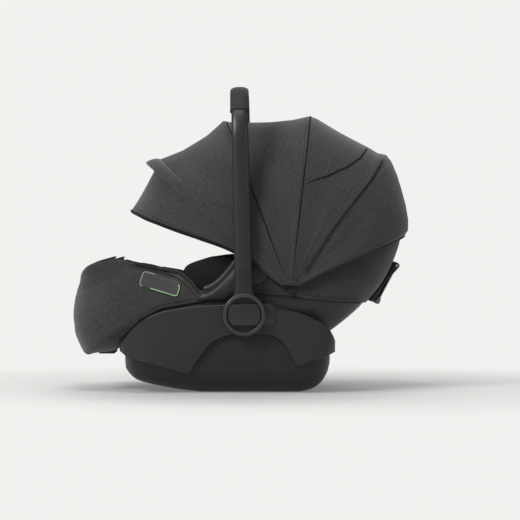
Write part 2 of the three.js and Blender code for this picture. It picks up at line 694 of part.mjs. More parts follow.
function harness() {
  const { x, z, tilt, long, wide, thick, button } = BUCKLE;
  const atBuckle = (geometry, u, y, v) => solid(onSlope(geometry.translate(u, y, v), x, 0, z, tilt));
  let body = atBuckle(roundedBlock(long, wide, thick, 8), 0, 0, 0);
  body = body.subtract(atBuckle(new THREE.BoxGeometry(button + 1.2, button + 1.2, 9), -4, 0, thick / 2 - 2.5));
  body = body.subtract(atBuckle(new THREE.BoxGeometry(8, WEBBING.wide + 2, 5), -long / 2 + 2, 0, 0));
  for (const side of [LEFT, RIGHT]) {
    body = body.subtract(atBuckle(new THREE.BoxGeometry(26, 20.4, 4), long / 2 - 8, side * 12.2, -1));
    const blade = new THREE.BoxGeometry(30, 18.4, 2.4);
    const wing = new THREE.BoxGeometry(22, 43, 2.4);
    const tongue = atBuckle(blade, long / 2 - 3, side * 12.2, -1)
      .add(atBuckle(wing, long / 2 + 13, side * 25, -1))
      .subtract(shoulderStrap(side, 1.4, 1.4));
    add(`tongue_${sideName(side)}`, tongue, COLOR.steel, 0.35, 1);
    add(`shoulder_strap_${sideName(side)}`, shoulderStrap(side), COLOR.webbing, 0.9);
    const { from, to } = SHOULDER_PAD;
    const pad = solid(strap(shoulderPath(side), SHOULDER_PAD.wide, SHOULDER_PAD.thick, [0, 1, 0]))
      .intersect(box((from + to) / 2, 0, 190, to - from, 200, 90))
      .subtract(shoulderStrap(side, 1.2, 1.2));
    const half = box(90, side * 51, 190, 300, 100, 300);
    add(`shoulder_pad_${sideName(side)}`, pad.intersect(half), COLOR.lining, 0.95);
  }
  add("buckle_housing", body, COLOR.plastic, 0.4);
  const press = atBuckle(roundedBlock(button, button, 7, 3), -4, 0, thick / 2 - 1.8);
  add("buckle_button", press, COLOR.red, 0.4);
  add("crotch_strap", solid(strap(crotchPath, WEBBING.wide, WEBBING.thick, [0, 1, 0])), COLOR.webbing, 0.9);

  const atAdjuster = (geometry, u, y, v) =>
    solid(onSlope(geometry.translate(u, y, v), ADJUSTER.x, 0, ADJUSTER.z, ADJUSTER.tilt));
  const block = roundedBlock(ADJUSTER.long, ADJUSTER.wide, ADJUSTER.thick, 6);
  const base = atAdjuster(block, 0, 0, ADJUSTER.thick / 2 + 1)
    .subtract(atAdjuster(new THREE.BoxGeometry(23, 27, 9), 3, 0, ADJUSTER.thick - 2.5));
  add("adjuster_housing", base, COLOR.plastic, 0.4);
  const key = atAdjuster(roundedBlock(21.6, 25.6, 6, 3), 3, 0, ADJUSTER.thick - 0.4);
  add("adjuster_button", key, COLOR.side, 0.5);
  const pull = [[-196, 224], [-212, 234], [-228, 243], [-238, 252]].map(([px, pz]) => [px, 0, pz]);
  add("adjuster_strap", solid(strap(pull, WEBBING.wide - 8, WEBBING.thick, [0, 1, 0])), COLOR.webbing, 0.9);
}

// The headrest is a U across the seat that slides along the straight part of the back.
function headrest() {
  const slope = (BACK_SLOPE * 180) / Math.PI;
  const wing = smooth([[0, 44], [25, 66], [55, 82], [85, 84], [110, 70]]);
  const grid = (inset, from, to) =>
    [0, 0.12, 0.5, 0.88, 1].map((share) => {
      const u = from + (to - from) * share;
      const narrow = share === 0 || share === 1 ? 6 : 0;
      const width = HEADREST.wide - inset - narrow;
      const section = uSection(width, wing(u), 3.5 + inset, 62 - inset, 4);
      return section.map(([y, v]) => [u, y, Math.max(v, 3.5 + inset)]);
    });
  const put = (geometry) => solid(onSlope(geometry.translate(HEADREST.from, 0, 0), 110, 0, 145, slope));
  const { shell, pad, long } = HEADREST;
  add("headrest_shell", put(bandLoft(grid(0, 0, long), grid(shell, 0, long))), COLOR.plastic, 0.5);
  const cushion = bandLoft(grid(shell + GAP, 3, long - 3), grid(shell + pad, 3, long - 3));
  add("headrest_pad", put(cushion), COLOR.lining, 0.95);
  const grip = roundedBlock(26, 54, 9, 6).translate(long + 10, 0, 13);
  const stalk = new THREE.BoxGeometry(16, 30, 3).translate(long + 3, 0, 11);
  const behind = put(new THREE.BoxGeometry(2 * long, 60, 60));
  add("headrest_grip", put(grip).add(put(stalk)).subtract(behind), COLOR.side, 0.5);
}

// ---------------------------------------------------------------- rear release handle and recline lever
function releases() {
  const { top, bottom, halfWidth, strip, grip } = RELEASE;
  const skin = COVER_CLEAR + COVER + GAP;
  const back = seatLayer(bucketFace(skin + 3, 2), bucketFace(skin, 2));
  const [along, away] = slopeOf(bottom, top);
  const at = (u, v) => [bottom[0] + u * along[0] + v * away[0], bottom[1] + u * along[1] + v * away[1]];
  const reach = Math.hypot(top[0] - bottom[0], top[1] - bottom[1]);
  const plateArea = [at(-6, 30), at(-6, -60), at(reach + 12, -60), at(reach + 12, 30)];
  let bracket = back.intersect(sideExtrude(plateArea, -halfWidth, halfWidth));
  for (const side of [LEFT, RIGHT]) {
    const span = [halfWidth - 4, halfWidth].map((y) => y * side).sort((a, b) => a - b);
    const cheek = [
      at(0, -18), at(reach - 8, -18), at(reach + 9, -12), at(reach + 9, 6), at(reach - 8, 7), at(0, -4),
    ];
    bracket = bracket.add(sideExtrude(cheek, ...span));
  }
  const clear = filled(bucketFace(skin - 0.05, 2));
  bracket = bracket.subtract(clear).subtract(rod(3.4, ...at(reach, 0), -80, 80));
  add("release_bracket", bracket, 0x6f7072, 0.6);
  const outline = [
    at(reach + 5, -3), at(reach + 5, 3), at(reach + 3, 5.5), at(reach - 3, 5.5), at(reach - 8, strip / 2),
    at(grip + 6, strip / 2), at(grip, grip / 2), at(0, grip / 2 + 1), at(-2, 0), at(0, -grip / 2),
    at(grip, -grip / 2), at(grip + 6, -strip / 2), at(reach - 8, -strip / 2), at(reach - 3, -5.5),
    at(reach + 3, -5.5),
  ];
  const hole = rod(3.4, ...at(reach, 0), -80, 80);
  const lever = sideExtrude(outline, -halfWidth + 4.6, halfWidth - 4.6).subtract(hole);
  add("release_handle", lever, COLOR.plastic, 0.4);
  add("release_pin", rod(3, ...at(reach, 0), -halfWidth - 2, halfWidth + 2, 12), COLOR.steel, 0.3, 1);

  const under = filled(bucketFace(skin, 2));
  const mount = box(-272, 0, 82, 30, 96, 24).subtract(under).subtract(box(-276, 0, 75, 40, 81, 7));
  add("recline_mount", mount, COLOR.plastic, 0.5);
  const paddle = solid(roundedBlock(34, 80, 5.4, 5).translate(-280, 0, 75));
  add("recline_lever", paddle, COLOR.side, 0.5);
}

// Unit vectors along a side-view line from a to b and away from the seat.
function slopeOf(a, b) {
  const length = Math.hypot(b[0] - a[0], b[1] - a[1]);
  const along = [(b[0] - a[0]) / length, (b[1] - a[1]) / length];
  return [along, [along[1], -along[0]]];
}

// ---------------------------------------------------------------- canopy
const canopyReach = smooth(CANOPY);

// A point of the canopy's surface: angle of its ray in degrees, share 0 to 1 across, inset inwards.
function canopyPoint(angle, share, inset) {
  const reach = canopyReach(angle) - inset;
  const start = Math.asin((CANOPY_FOOT / reach) ** (CANOPY_SQUARENESS / 2));
  const a = start + share * (Math.PI - 2 * start);
  const power = 2 / CANOPY_SQUARENESS;
  const out = reach * Math.sin(a) ** power;
  const y = (CANOPY_HALF_WIDTH - inset) * Math.sign(Math.cos(a)) * Math.abs(Math.cos(a)) ** power;
  const t = radians(angle);
  return [CANOPY_PIVOT.x + out * Math.cos(t), y, CANOPY_PIVOT.z + out * Math.sin(t)];
}

const ACROSS = 12;

function canopyPanel(from, to, steps) {
  const grid = (inset) =>
    Array.from({ length: steps + 1 }, (_, i) =>
      Array.from({ length: ACROSS + 1 }, (_, j) =>
        canopyPoint(from + ((to - from) * i) / steps, j / ACROSS, inset),
      ),
    );
  return solid(bandLoft(grid(0), grid(CLOTH)));
}

// A bow: a flat strip under the cloth at one angle, with an eye on the pivot pin at each end. Near
// the pivot each bow lies in a layer of its own, so that folded bows pass each other.
function canopyBow(angle, layer) {
  const inset = CLOTH + 1.5 * GAP;
  const eyeLow = seatHalfWidth(290) + COVER_CLEAR + COVER + 1 + layer * (BOW.thick + 0.4);
  const t = radians(angle);
  const rings = [];
  for (let j = 0; j <= ACROSS; j++) {
    const corners = [];
    for (const [side, deep] of [[-1, 0], [1, 0], [1, 1], [-1, 1]]) {
      const [x, y, z] = canopyPoint(angle, j / ACROSS, inset + deep * BOW.thick);
      const out = Math.hypot(x - CANOPY_PIVOT.x, z - CANOPY_PIVOT.z);
      const share = THREE.MathUtils.smoothstep(out, 155, 240);
      const flat = eyeLow + (1 - deep) * BOW.thick;
      const shifted = Math.min(Math.abs(y), THREE.MathUtils.lerp(flat, Math.abs(y), share));
      const offset = (side * BOW.wide) / 2;
      corners.push([x - offset * Math.sin(t), Math.sign(y) * shifted, z + offset * Math.cos(t)]);
    }
    rings.push(corners);
  }
  let bow = solid(loft(rings));
  for (const side of [LEFT, RIGHT]) {
    const span = [eyeLow, eyeLow + BOW.thick].map((y) => y * side).sort((a, b) => a - b);
    const eye = rod(BOW.eye, CANOPY_PIVOT.x, CANOPY_PIVOT.z, ...span);
    const corners = [
      [0, -BOW.wide / 2], [CANOPY_FOOT + 6, -BOW.wide / 2], [CANOPY_FOOT + 6, BOW.wide / 2], [0, BOW.wide / 2],
    ];
    const link = corners.map(([u, v]) => [
      CANOPY_PIVOT.x + u * Math.cos(t) - v * Math.sin(t),
      CANOPY_PIVOT.z + u * Math.sin(t) + v * Math.cos(t),
    ]);
    bow = bow.add(eye).add(sideExtrude(link, ...span));
  }
  return bow.subtract(rod(BOW.pin + 0.4, CANOPY_PIVOT.x, CANOPY_PIVOT.z, -300, 300));
}

function canopy() {
  const half = CLOTH_GAP / 2;
  const { rear, middle, front, visor } = BOW_ANGLE;
  add("canopy_hood_panel", canopyPanel(HOOD_EDGE, rear - half, 9), COLOR.cloth, 0.95);
  add("canopy_middle_panel", canopyPanel(rear + half, middle - half, 3), COLOR.cloth, 0.95);
  add("canopy_front_panel", canopyPanel(middle + half, front - half, 4), COLOR.cloth, 0.95);
  add("canopy_visor_panel", canopyPanel(front + half, visor + half, 3), COLOR.cloth, 0.95);
  Object.entries(BOW_ANGLE).forEach(([name, angle], layer) => {
    add(`canopy_bow_${name}`, canopyBow(angle, layer), COLOR.plastic, 0.5);
  });
  for (const side of [LEFT, RIGHT]) {
    const seatSide = seatHalfWidth(290) + COVER_CLEAR + COVER + GAP;
    const span = [seatSide, CANOPY_HALF_WIDTH + 1].map((y) => y * side).sort((a, b) => a - b);
    const pin = rod(BOW.pin, CANOPY_PIVOT.x, CANOPY_PIVOT.z, ...span);
    const capSpan = [-1.4, 1].map((lift) => (CANOPY_HALF_WIDTH + lift) * side).sort((a, b) => a - b);
    const cap = rod(CANOPY_FOOT - 4, CANOPY_PIVOT.x, CANOPY_PIVOT.z, ...capSpan);
    add(`canopy_mount_${sideName(side)}`, pin.add(cap), COLOR.plastic, 0.5);
  }
}

carrier();
handle();
seatBucket();
harness();
headrest();
releases();
canopy();

export default seat;
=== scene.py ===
"""Infant car seat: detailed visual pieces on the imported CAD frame.

Shapes are worked out in millimetres in the CAD's frame (+X head end, +Z up) and scaled to metres.
The bucket's layers follow rays from SEAT_CENTRE; the canopy's cloth follows rays from its pivot.
"""
import math

import bmesh
import bpy
import numpy as np
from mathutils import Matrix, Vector, noise


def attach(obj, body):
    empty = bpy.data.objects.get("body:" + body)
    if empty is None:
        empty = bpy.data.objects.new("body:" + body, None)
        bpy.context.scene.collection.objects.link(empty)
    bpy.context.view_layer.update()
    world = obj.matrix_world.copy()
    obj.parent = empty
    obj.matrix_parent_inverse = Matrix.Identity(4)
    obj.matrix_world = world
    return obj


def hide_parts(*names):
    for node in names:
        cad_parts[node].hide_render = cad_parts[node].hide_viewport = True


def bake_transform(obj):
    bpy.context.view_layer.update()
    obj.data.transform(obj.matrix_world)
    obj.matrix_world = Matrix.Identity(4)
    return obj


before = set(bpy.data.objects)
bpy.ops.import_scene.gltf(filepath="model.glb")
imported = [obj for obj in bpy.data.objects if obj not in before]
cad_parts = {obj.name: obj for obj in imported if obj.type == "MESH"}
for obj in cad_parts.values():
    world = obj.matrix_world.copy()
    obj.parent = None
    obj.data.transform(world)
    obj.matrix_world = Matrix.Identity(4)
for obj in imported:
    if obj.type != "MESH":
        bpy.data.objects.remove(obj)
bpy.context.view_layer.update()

MM = 0.001
WORLD_LIGHT, FLOOR_TONE, FLOOR_GLOW = 0.24, 0.62, 0.30
SIDES = {"left": -1, "right": 1}

# ------------------------------------------------------------------ sizes shared with the CAD, in mm
HUB = (0.0, 150.0)
HANDLE_LEAN = math.radians(-1.3)
ARM_Y, CROSSBAR_Z, HANDLE_BEND = 211.0, 581.0, 95.0
TUBE_THICK, GRIP_WALL, GRIP_FROM_Z = 14.0, 2.2, 539.0
RING_OUTER, RING_INNER, RING_LOW, RING_HIGH, WEB = 41.0, 33.2, 205.5, 219.5, 3.2
BUTTON_HALF = 20.5

TUB_HALF_WIDTH, TUB_FRONT, TUB_REAR, TUB_CORNER, TUB_PLAN = 189.5, -233.0, 168.0, 52.0, 9
ARCH = [(-242, 82), (-228, 107), (-199, 136), (-161, 155), (-85, 167), (0, 170), (91, 157), (123, 147),
        (152, 133), (166, 118), (175, 99), (180, 80)]
ROCKER = [(-242, 70), (-233, 50), (-222, 34), (-205, 22), (-160, 11), (-110, 3), (-75, 0), (100, 0), (128, 5),
          (146, 16), (160, 36), (168, 60), (180, 74)]
SHELL_LOWER = [(-262, 94), (-241, 81), (-223, 67), (-105, 36), (-95, 54), (-77, 79), (-60, 96), (-42, 106),
               (-20, 110), (40, 110), (58, 107), (71, 98), (81, 85), (95, 61), (101, 50), (154, 68), (178, 79),
               (200, 88)]

SEAT_CENTRE = (0.0, 330.0)
SEAT_SHELL, COVER_CLEAR, COVER, SEAT_CORNER = 3.5, 0.8, 3.6, 92.0
BUCKET = [(-246, 257), (-284, 243), (-309, 214), (-321, 178), (-324, 142), (-315, 113), (-295, 92), (-250, 82),
          (-190, 67), (-100, 53), (0, 49), (90, 68), (165, 114), (231, 170), (266, 213), (291, 260), (303, 300),
          (300, 344)]
RIM = [(-246, 257), (-184, 243), (-122, 228), (-104, 214), (-86, 194), (-17.5, 243), (0, 258), (21, 273), (47, 287),
       (110, 314), (180, 331), (245, 337), (300, 344)]
SITTING = [(-246, 250), (-200, 222), (-120, 176), (-40, 140), (30, 122), (110, 145), (160, 187), (230, 246),
           (280, 288), (289, 344)]
SEAT_HALF_WIDTH = [(196, 138), (215, 150), (232, 162), (250, 172), (270, 175), (310, 175), (330, 168), (345, 150),
                   (355, 132), (363, 112)]
FOOT_RAY, HEAD_RAY = 197.0, 362.4

PIVOT = (88.0, 194.0)
CANOPY_HALF_WIDTH, CANOPY_FOOT, CANOPY_SQUARENESS, CLOTH = 195.0, 20.0, 3.2, 2.4
CANOPY_EDGE = [(-226, 345), (-224.6, 351.8), (-180.8, 427.8), (-167.1, 454.3), (-124.3, 472.4), (-74.8, 502.1),
               (-41.9, 530.1), (-34.8, 527.7), (7.6, 527.6), (52, 528.6), (92.6, 532.3), (128.2, 538.9),
               (142.1, 534.1), (189.1, 506.6), (247.4, 477), (262.7, 467.4), (280.4, 464), (281.8, 461.1),
               (290.6, 450.9), (302, 424), (310.9, 395), (319, 364), (323.6, 335.3), (323, 313.8), (313.5, 299.9),
               (309, 292)]
BOW = {"rear": 83.2, "middle": 110.5, "front": 138.0, "visor": 152.6}
HOOD_EDGE, FRONT_HEM, VISOR_RIB = 25.5, 153.3, 152.4


# ------------------------------------------------------------------ numbers
def smooth(points):
    """A smooth function through (x, y) points with no overshoot, flat past its ends."""
    xs, ys = [p[0] for p in points], [p[1] for p in points]
    rise = [(ys[i + 1] - ys[i]) / (xs[i + 1] - xs[i]) for i in range(len(xs) - 1)]
    slope = [rise[0]]
    for a, b in zip(rise, rise[1:]):
        slope.append(0.0 if a * b <= 0 else 2 * a * b / (a + b))
    slope.append(rise[-1])

    def at(x):
        if x <= xs[0]:
            return ys[0]
        if x >= xs[-1]:
            return ys[-1]
        i = next(k for k in range(len(xs)) if xs[k] > x) - 1
        h = xs[i + 1] - xs[i]
        t = (x - xs[i]) / h
        s = 1 - t
        return (ys[i] * (1 + 2 * t) * s * s + slope[i] * h * t * s * s
                + ys[i + 1] * t * t * (3 - 2 * t) - slope[i + 1] * h * t * t * s)

    return at


def straight(points):
    """A function through (x, y) points joined by straight lines."""
    xs, ys = [p[0] for p in points], [p[1] for p in points]
    return lambda x: float(np.interp(x, xs, ys))


def ease(a, b, x):
    t = min(max((x - a) / (b - a), 0.0), 1.0)
    return t * t * (3 - 2 * t)


def hump(x, middle, width):
    """1 at middle, falling to 0 about width away."""
    return math.exp(-((x - middle) / width) ** 2)


def spread(a, b, n):
    return [a + (b - a) * i / n for i in range(n + 1)]


def resample(line, n):
    """n + 1 points evenly spaced along a polyline."""
    pts = np.array(line, float)
    steps = np.linalg.norm(np.diff(pts, axis=0), axis=1)
    along = np.concatenate([[0], np.cumsum(steps)])
    wanted = np.linspace(0, along[-1], n + 1)
    return [tuple(np.interp(w, along, pts[:, k]) for k in range(pts.shape[1])) for w in wanted]


def fold_noise(x, y, z, size, seed=0.0):
    """Smooth noise from -1 to 1 with features of about size mm."""
    return noise.noise(Vector((x / size + seed, y / size, z / size)))


# ------------------------------------------------------------------ meshes
def make(name, verts, faces, material, slot, body=None, replaces=(), uvs=None, flat=False):
    mesh = bpy.data.meshes.new(name)
    mesh.from_pydata([(x * MM, y * MM, z * MM) for x, y, z in verts], [], faces)
    mesh.validate()
    if uvs is not None:
        layer = mesh.uv_layers.new(name="cloth")
        for loop in mesh.loops:
            layer.data[loop.index].uv = uvs[loop.vertex_index]
    obj = bpy.data.objects.new(name, mesh)
    bpy.context.scene.collection.objects.link(obj)
    face_out(obj)
    finish_piece(obj, material, body, replaces, flat)
    return obj


def finish_piece(obj, material, body=None, replaces=(), flat=False):
    obj.data.materials.clear()
    obj.data.materials.append(material)
    if not flat:
        for poly in obj.data.polygons:
            poly.use_smooth = True
    if replaces:
        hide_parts(*replaces)
    if body:
        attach(obj, body)


def face_out(obj):
    bm = bmesh.new()
    bm.from_mesh(obj.data)
    bmesh.ops.recalc_face_normals(bm, faces=bm.faces)
    bm.to_mesh(obj.data)
    bm.free()


def bevel(obj, width, angle=35, segments=3):
    m = obj.modifiers.new("edge", "BEVEL")
    m.width, m.segments, m.limit_method, m.angle_limit = width * MM, segments, "ANGLE", math.radians(angle)
    m.harden_normals = False
    apply_modifiers(obj)
    sharp_by_angle(obj, 50)
    return obj


def apply_modifiers(obj):
    dg = bpy.context.evaluated_depsgraph_get()
    dg.update()
    mesh = bpy.data.meshes.new_from_object(obj.evaluated_get(dg), depsgraph=dg)
    obj.modifiers.clear()
    old = obj.data
    obj.data = mesh
    bpy.data.meshes.remove(old)


def sharp_by_angle(obj, degrees):
    obj.data.set_sharp_from_angle(angle=math.radians(degrees))


def subdivide(obj, levels=1):
    m = obj.modifiers.new("finer", "SUBSURF")
    m.levels = m.render_levels = levels
    apply_modifiers(obj)


def lengths(grid):
    """Cloth coordinates in metres for a grid of points: across each row and down the middle column."""
    middle = len(grid[0]) // 2
    v, down = [0.0], 0.0
    for a, b in zip(grid, grid[1:]):
        down += math.dist(a[middle], b[middle]) * MM
        v.append(down)
    uvs = []
    for row, height in zip(grid, v):
        along = [0.0]
        for a, b in zip(row, row[1:]):
            along.append(along[-1] + math.dist(a, b) * MM)
        half = along[middle]
        uvs += [(u - half, height) for u in along]
    return uvs


def cloth_sheet(name, outer, inner, material, slot, **kwargs):
    """A closed layer between two grids of points, with cloth coordinates on both faces."""
    rows, cols = len(outer), len(outer[0])
    verts = [p for row in outer for p in row] + [p for row in inner for p in row]
    uv = lengths(outer)
    uvs = uv + uv
    n = rows * cols
    faces = []
    for i in range(rows - 1):
        for j in range(cols - 1):
            a = i * cols + j
            quad = [a, a + 1, a + cols + 1, a + cols]
            faces.append(quad)
            faces.append([q + n for q in reversed(quad)])
    for i in range(rows - 1):
        for j in (0, cols - 1):
            a, b = i * cols + j, (i + 1) * cols + j
            faces.append([a, b, b + n, a + n])
    for j in range(cols - 1):
        for i in (0, rows - 1):
            a, b = i * cols + j, i * cols + j + 1
            faces.append([a, b, b + n, a + n])
    return make(name, verts, faces, material, slot, uvs=uvs, **kwargs)


def loft(name, rings, material, slot, **kwargs):
    """A closed body through rings of equal length, with a flat fan over each end."""
    n = len(rings[0])
    verts = [p for ring in rings for p in ring]
    faces = []
    for i in range(len(rings) - 1):
        for j in range(n):
            a, b = i * n + j, i * n + (j + 1) % n
            faces.append([a, b, b + n, a + n])
    faces.append(list(range(n)))
    faces.append([(len(rings) - 1) * n + j for j in reversed(range(n))])
    uvs = [(j / n * 0.1, i * 0.004) for i in range(len(rings)) for j in range(n)]
    return make(name, verts, faces, material, slot, uvs=uvs, **kwargs)


def oval(wide, thick, n=28, power=0.8):
    out = []
    for i in range(n):
        a = 2 * math.pi * i / n
        c, s = math.cos(a), math.sin(a)
        out.append((wide / 2 * math.copysign(abs(c) ** power, c), thick / 2 * math.copysign(abs(s) ** power, s)))
    return out


def tube(name, path, radius, material, slot, sides=8, flat=1.0, up=(0, 0, 1), taper=True, **kwargs):
    """A rounded cord along points; flat scales its height against its width."""
    pts = [Vector(p) for p in path]
    rings = []
    for i, p in enumerate(pts):
        ahead = (pts[min(i + 1, len(pts) - 1)] - pts[max(i - 1, 0)]).normalized()
        across = ahead.cross(Vector(up))
        across = across.normalized() if across.length > 1e-6 else Vector((0, 1, 0))
        normal = across.cross(ahead)
        r = radius(i / (len(pts) - 1)) if callable(radius) else radius
        if taper and i in (0, len(pts) - 1):
            r *= 0.35
        rings.append([tuple(p + across * (r * math.cos(2 * math.pi * k / sides))
                            + normal * (r * flat * math.sin(2 * math.pi * k / sides))) for k in range(sides)])
    return loft(name, rings, material, slot, **kwargs)


def lathe(name, profile, side, material, slot, segments=72, centre=HUB, **kwargs):
    """A closed ring or disc turned about the hub axis from (radius, height off the middle) points."""
    verts, faces, n = [], [], len(profile)
    for i in range(segments):
        a = 2 * math.pi * i / segments
        for r, y in profile:
            verts.append((centre[0] + r * math.cos(a), side * y, centre[1] + r * math.sin(a)))
    for i in range(segments):
        for j in range(n):
            a, b = i * n + j, i * n + (j + 1) % n
            c, d = ((i + 1) % segments) * n + (j + 1) % n, ((i + 1) % segments) * n + j
            faces.append([a, b, c, d])
    return make(name, verts, faces, material, slot, **kwargs)


def rounded_outline(points, radius, steps=4):
    """A closed polygon with its corners rounded."""
    out, n = [], len(points)
    for i in range(n):
        p, a, b = (np.array(points[k % n], float) for k in (i, i - 1, i + 1))
        r = min(radius, np.linalg.norm(a - p) * 0.45, np.linalg.norm(b - p) * 0.45)
        start, end = p + (a - p) / np.linalg.norm(a - p) * r, p + (b - p) / np.linalg.norm(b - p) * r
        for k in range(steps + 1):
            t = k / steps
            out.append(tuple((1 - t) ** 2 * start + 2 * t * (1 - t) * p + t * t * end))
    return out


def slab(name, outline, y_low, y_high, material, slot, edge=1.0, **kwargs):
    """A side-view outline of (x, z) points with thickness across Y and softened edges."""
    n = len(outline)
    verts = [(x, y_low, z) for x, z in outline] + [(x, y_high, z) for x, z in outline]
    faces = [list(range(n)), list(reversed(range(n, 2 * n)))]
    faces += [[i, (i + 1) % n, (i + 1) % n + n, i + n] for i in range(n)]
    body, replaced = kwargs.pop("body", None), kwargs.pop("replaces", ())
    obj = make(name, verts, faces, material, slot, **kwargs)
    if edge:
        bevel(obj, edge)
    finish_piece(obj, material, body, replaced)
    return obj


def refined(node, name, material, body, edge=1.0, smooth_angle=40):
    """A copy of a CAD node with softened edges and its own material, shown in the node's place."""
    obj = bpy.data.objects.new(name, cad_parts[node].data.copy())
    bpy.context.scene.collection.objects.link(obj)
    bm = bmesh.new()
    bm.from_mesh(obj.data)
    bmesh.ops.remove_doubles(bm, verts=bm.verts, dist=2e-5)
    bmesh.ops.dissolve_limit(bm, angle_limit=math.radians(1.5), verts=bm.verts, edges=bm.edges)
    bm.to_mesh(obj.data)
    bm.free()
    if edge:
        bevel(obj, edge, angle=smooth_angle, segments=2)
    finish_piece(obj, material, body, (node,))
    sharp_by_angle(obj, 45)
    return obj


# ------------------------------------------------------------------ materials
class Maker:
    """Small helper for one node material."""

    def __init__(self, name):
        self.material = bpy.data.materials.new(name)
        self.material.use_nodes = True
        self.nodes, self.links = self.material.node_tree.nodes, self.material.node_tree.links
        self.shader = self.nodes["Principled BSDF"]

    def node(self, kind, **values):
        n = self.nodes.new(kind)
        for key, value in values.items():
            if key in n.inputs:
                n.inputs[key].default_value = value
            else:
                setattr(n, key, value)
        return n

    def join(self, a, b):
        self.links.new(a, b)

    def coordinates(self, kind="Object", stretch=(1, 1, 1)):
        source, mapping = self.node("ShaderNodeTexCoord"), self.node("ShaderNodeMapping")
        mapping.inputs["Scale"].default_value = stretch
        self.join(source.outputs[kind], mapping.inputs["Vector"])
        return mapping.outputs["Vector"]

    def noise(self, vector, scale, detail=2.0, rough=0.5):
        n = self.node("ShaderNodeTexNoise", Scale=scale, Detail=detail, Roughness=rough)
        self.join(vector, n.inputs["Vector"])
        return n.outputs["Fac"]

    def wave(self, vector, scale, direction="X", distortion=0.0):
        n = self.node("ShaderNodeTexWave", Scale=scale, Distortion=distortion)
        n.bands_direction = direction
        self.join(vector, n.inputs["Vector"])
        return n.outputs["Fac"]

    def math(self, operation, a, b):
        n = self.node("ShaderNodeMath", operation=operation)
        for k, v in enumerate((a, b)):
            if isinstance(v, (int, float)):
                n.inputs[k].default_value = v
            else:
                self.join(v, n.inputs[k])
        return n.outputs[0]

    def ramp(self, factor, stops):
        n = self.node("ShaderNodeValToRGB")
        n.color_ramp.elements[0].position, n.color_ramp.elements[0].color = stops[0][0], (*stops[0][1], 1)
        n.color_ramp.elements[1].position, n.color_ramp.elements[1].color = stops[-1][0], (*stops[-1][1], 1)
        for position, color in stops[1:-1]:
            n.color_ramp.elements.new(position).color = (*color, 1)
        self.join(factor, n.inputs["Fac"])
        return n.outputs["Color"]

    def bump(self, height, strength, distance, under=None):
        n = self.node("ShaderNodeBump", Strength=strength, Distance=distance)
        self.join(height, n.inputs["Height"])
        if under is not None:
            self.join(under, n.inputs["Normal"])
        return n.outputs["Normal"]

    def set(self, **values):
        for key, value in values.items():
            self.shader.inputs[key.replace("_", " ")].default_value = value


def tint(color, share):
    return tuple(c * share for c in color)


def fabric(name, color, contrast=0.3, weave=0.0013, kind="UV", sheen=0.25, relief=0.5, speck=420):
    """Woven or knitted cloth: yarn relief, mottled yarn colour and a soft sheen."""
    m = Maker(name)
    flat = m.coordinates(kind)
    streak = m.coordinates(kind, (1, 0.32, 1) if kind == "UV" else (0.6, 1, 0.6))
    period = 2 * math.pi / (20 * weave)
    yarn = m.math("MULTIPLY", m.wave(flat, period, "X", 1.2), m.wave(flat, period, "Y", 1.2))
    if kind != "UV":
        yarn = m.math("ADD", yarn, m.math("MULTIPLY", m.wave(flat, period, "Z", 1.2), 0.7))
    mottle = m.math("ADD", m.math("MULTIPLY", m.noise(streak, speck, 3.0, 0.62), 0.75),
                    m.math("MULTIPLY", m.noise(flat, speck * 3.2, 2.0, 0.6), 0.25))
    broad = m.noise(flat, 14, 2.0)
    shade = m.math("ADD", m.math("MULTIPLY", mottle, 0.86), m.math("MULTIPLY", broad, 0.14))
    m.join(m.ramp(shade, [(0.34, tint(color, 1 - contrast)), (0.5, color), (0.68, tint(color, 1 + 1.6 * contrast))]),
           m.shader.inputs["Base Color"])
    deep = m.bump(yarn, relief, 0.0004)
    m.join(m.bump(mottle, 0.35, 0.0006, deep), m.shader.inputs["Normal"])
    m.set(Roughness=0.92, Sheen_Weight=sheen, Sheen_Roughness=0.5, Specular_IOR_Level=0.15)
    return m.material


def plastic(name, color, rough=0.42, grain=0.08, coarse=900, specular=0.5):
    """Moulded plastic: fine spark texture, slightly uneven gloss, a painted highlight on convex edges and painted shade
    in hollows.
    """
    m = Maker(name)
    at = m.coordinates()
    fine, broad = m.noise(at, coarse, 2.0), m.noise(at, 9, 3.0)
    spread_rough = m.math("ADD", m.math("MULTIPLY", broad, 0.14), rough - 0.07)
    m.join(spread_rough, m.shader.inputs["Roughness"])
    # Painted highlight and shade: the colour turns paler on convex edges and darker in hollows, from the mesh's
    # pointiness.
    geometry = m.node("ShaderNodeNewGeometry")
    edge = m.math("SUBTRACT", geometry.outputs["Pointiness"], 0.5)
    shade = m.math("ADD", m.math("MULTIPLY", edge, 1.4), m.math("ADD", m.math("MULTIPLY", broad, 0.3), 0.35))
    m.join(m.ramp(shade, [(0.3, tint(color, 0.9)), (0.62, tint(color, 1.1)), (0.9, tint(color, 1.7))]),
           m.shader.inputs["Base Color"])
    m.join(m.bump(fine, grain, 0.0004), m.shader.inputs["Normal"])
    m.set(Specular_IOR_Level=specular)
    return m.material


def leather(name, color, rough=0.5, scale=620):
    m = Maker(name)
    at = m.coordinates()
    cells = m.node("ShaderNodeTexVoronoi", Scale=scale)
    m.join(at, cells.inputs["Vector"])
    pores = m.noise(at, 1500, 2.0)
    broad = m.noise(at, 22, 3.0)
    m.join(m.ramp(broad, [(0.3, tint(color, 0.85)), (0.7, tint(color, 1.25))]), m.shader.inputs["Base Color"])
    m.join(m.math("ADD", m.math("MULTIPLY", broad, 0.16), rough - 0.08), m.shader.inputs["Roughness"])
    deep = m.bump(cells.outputs["Distance"], 0.35, 0.0005)
    m.join(m.bump(pores, 0.12, 0.0003, deep), m.shader.inputs["Normal"])
    m.set(Sheen_Weight=0.08, Specular_IOR_Level=0.4)
    return m.material


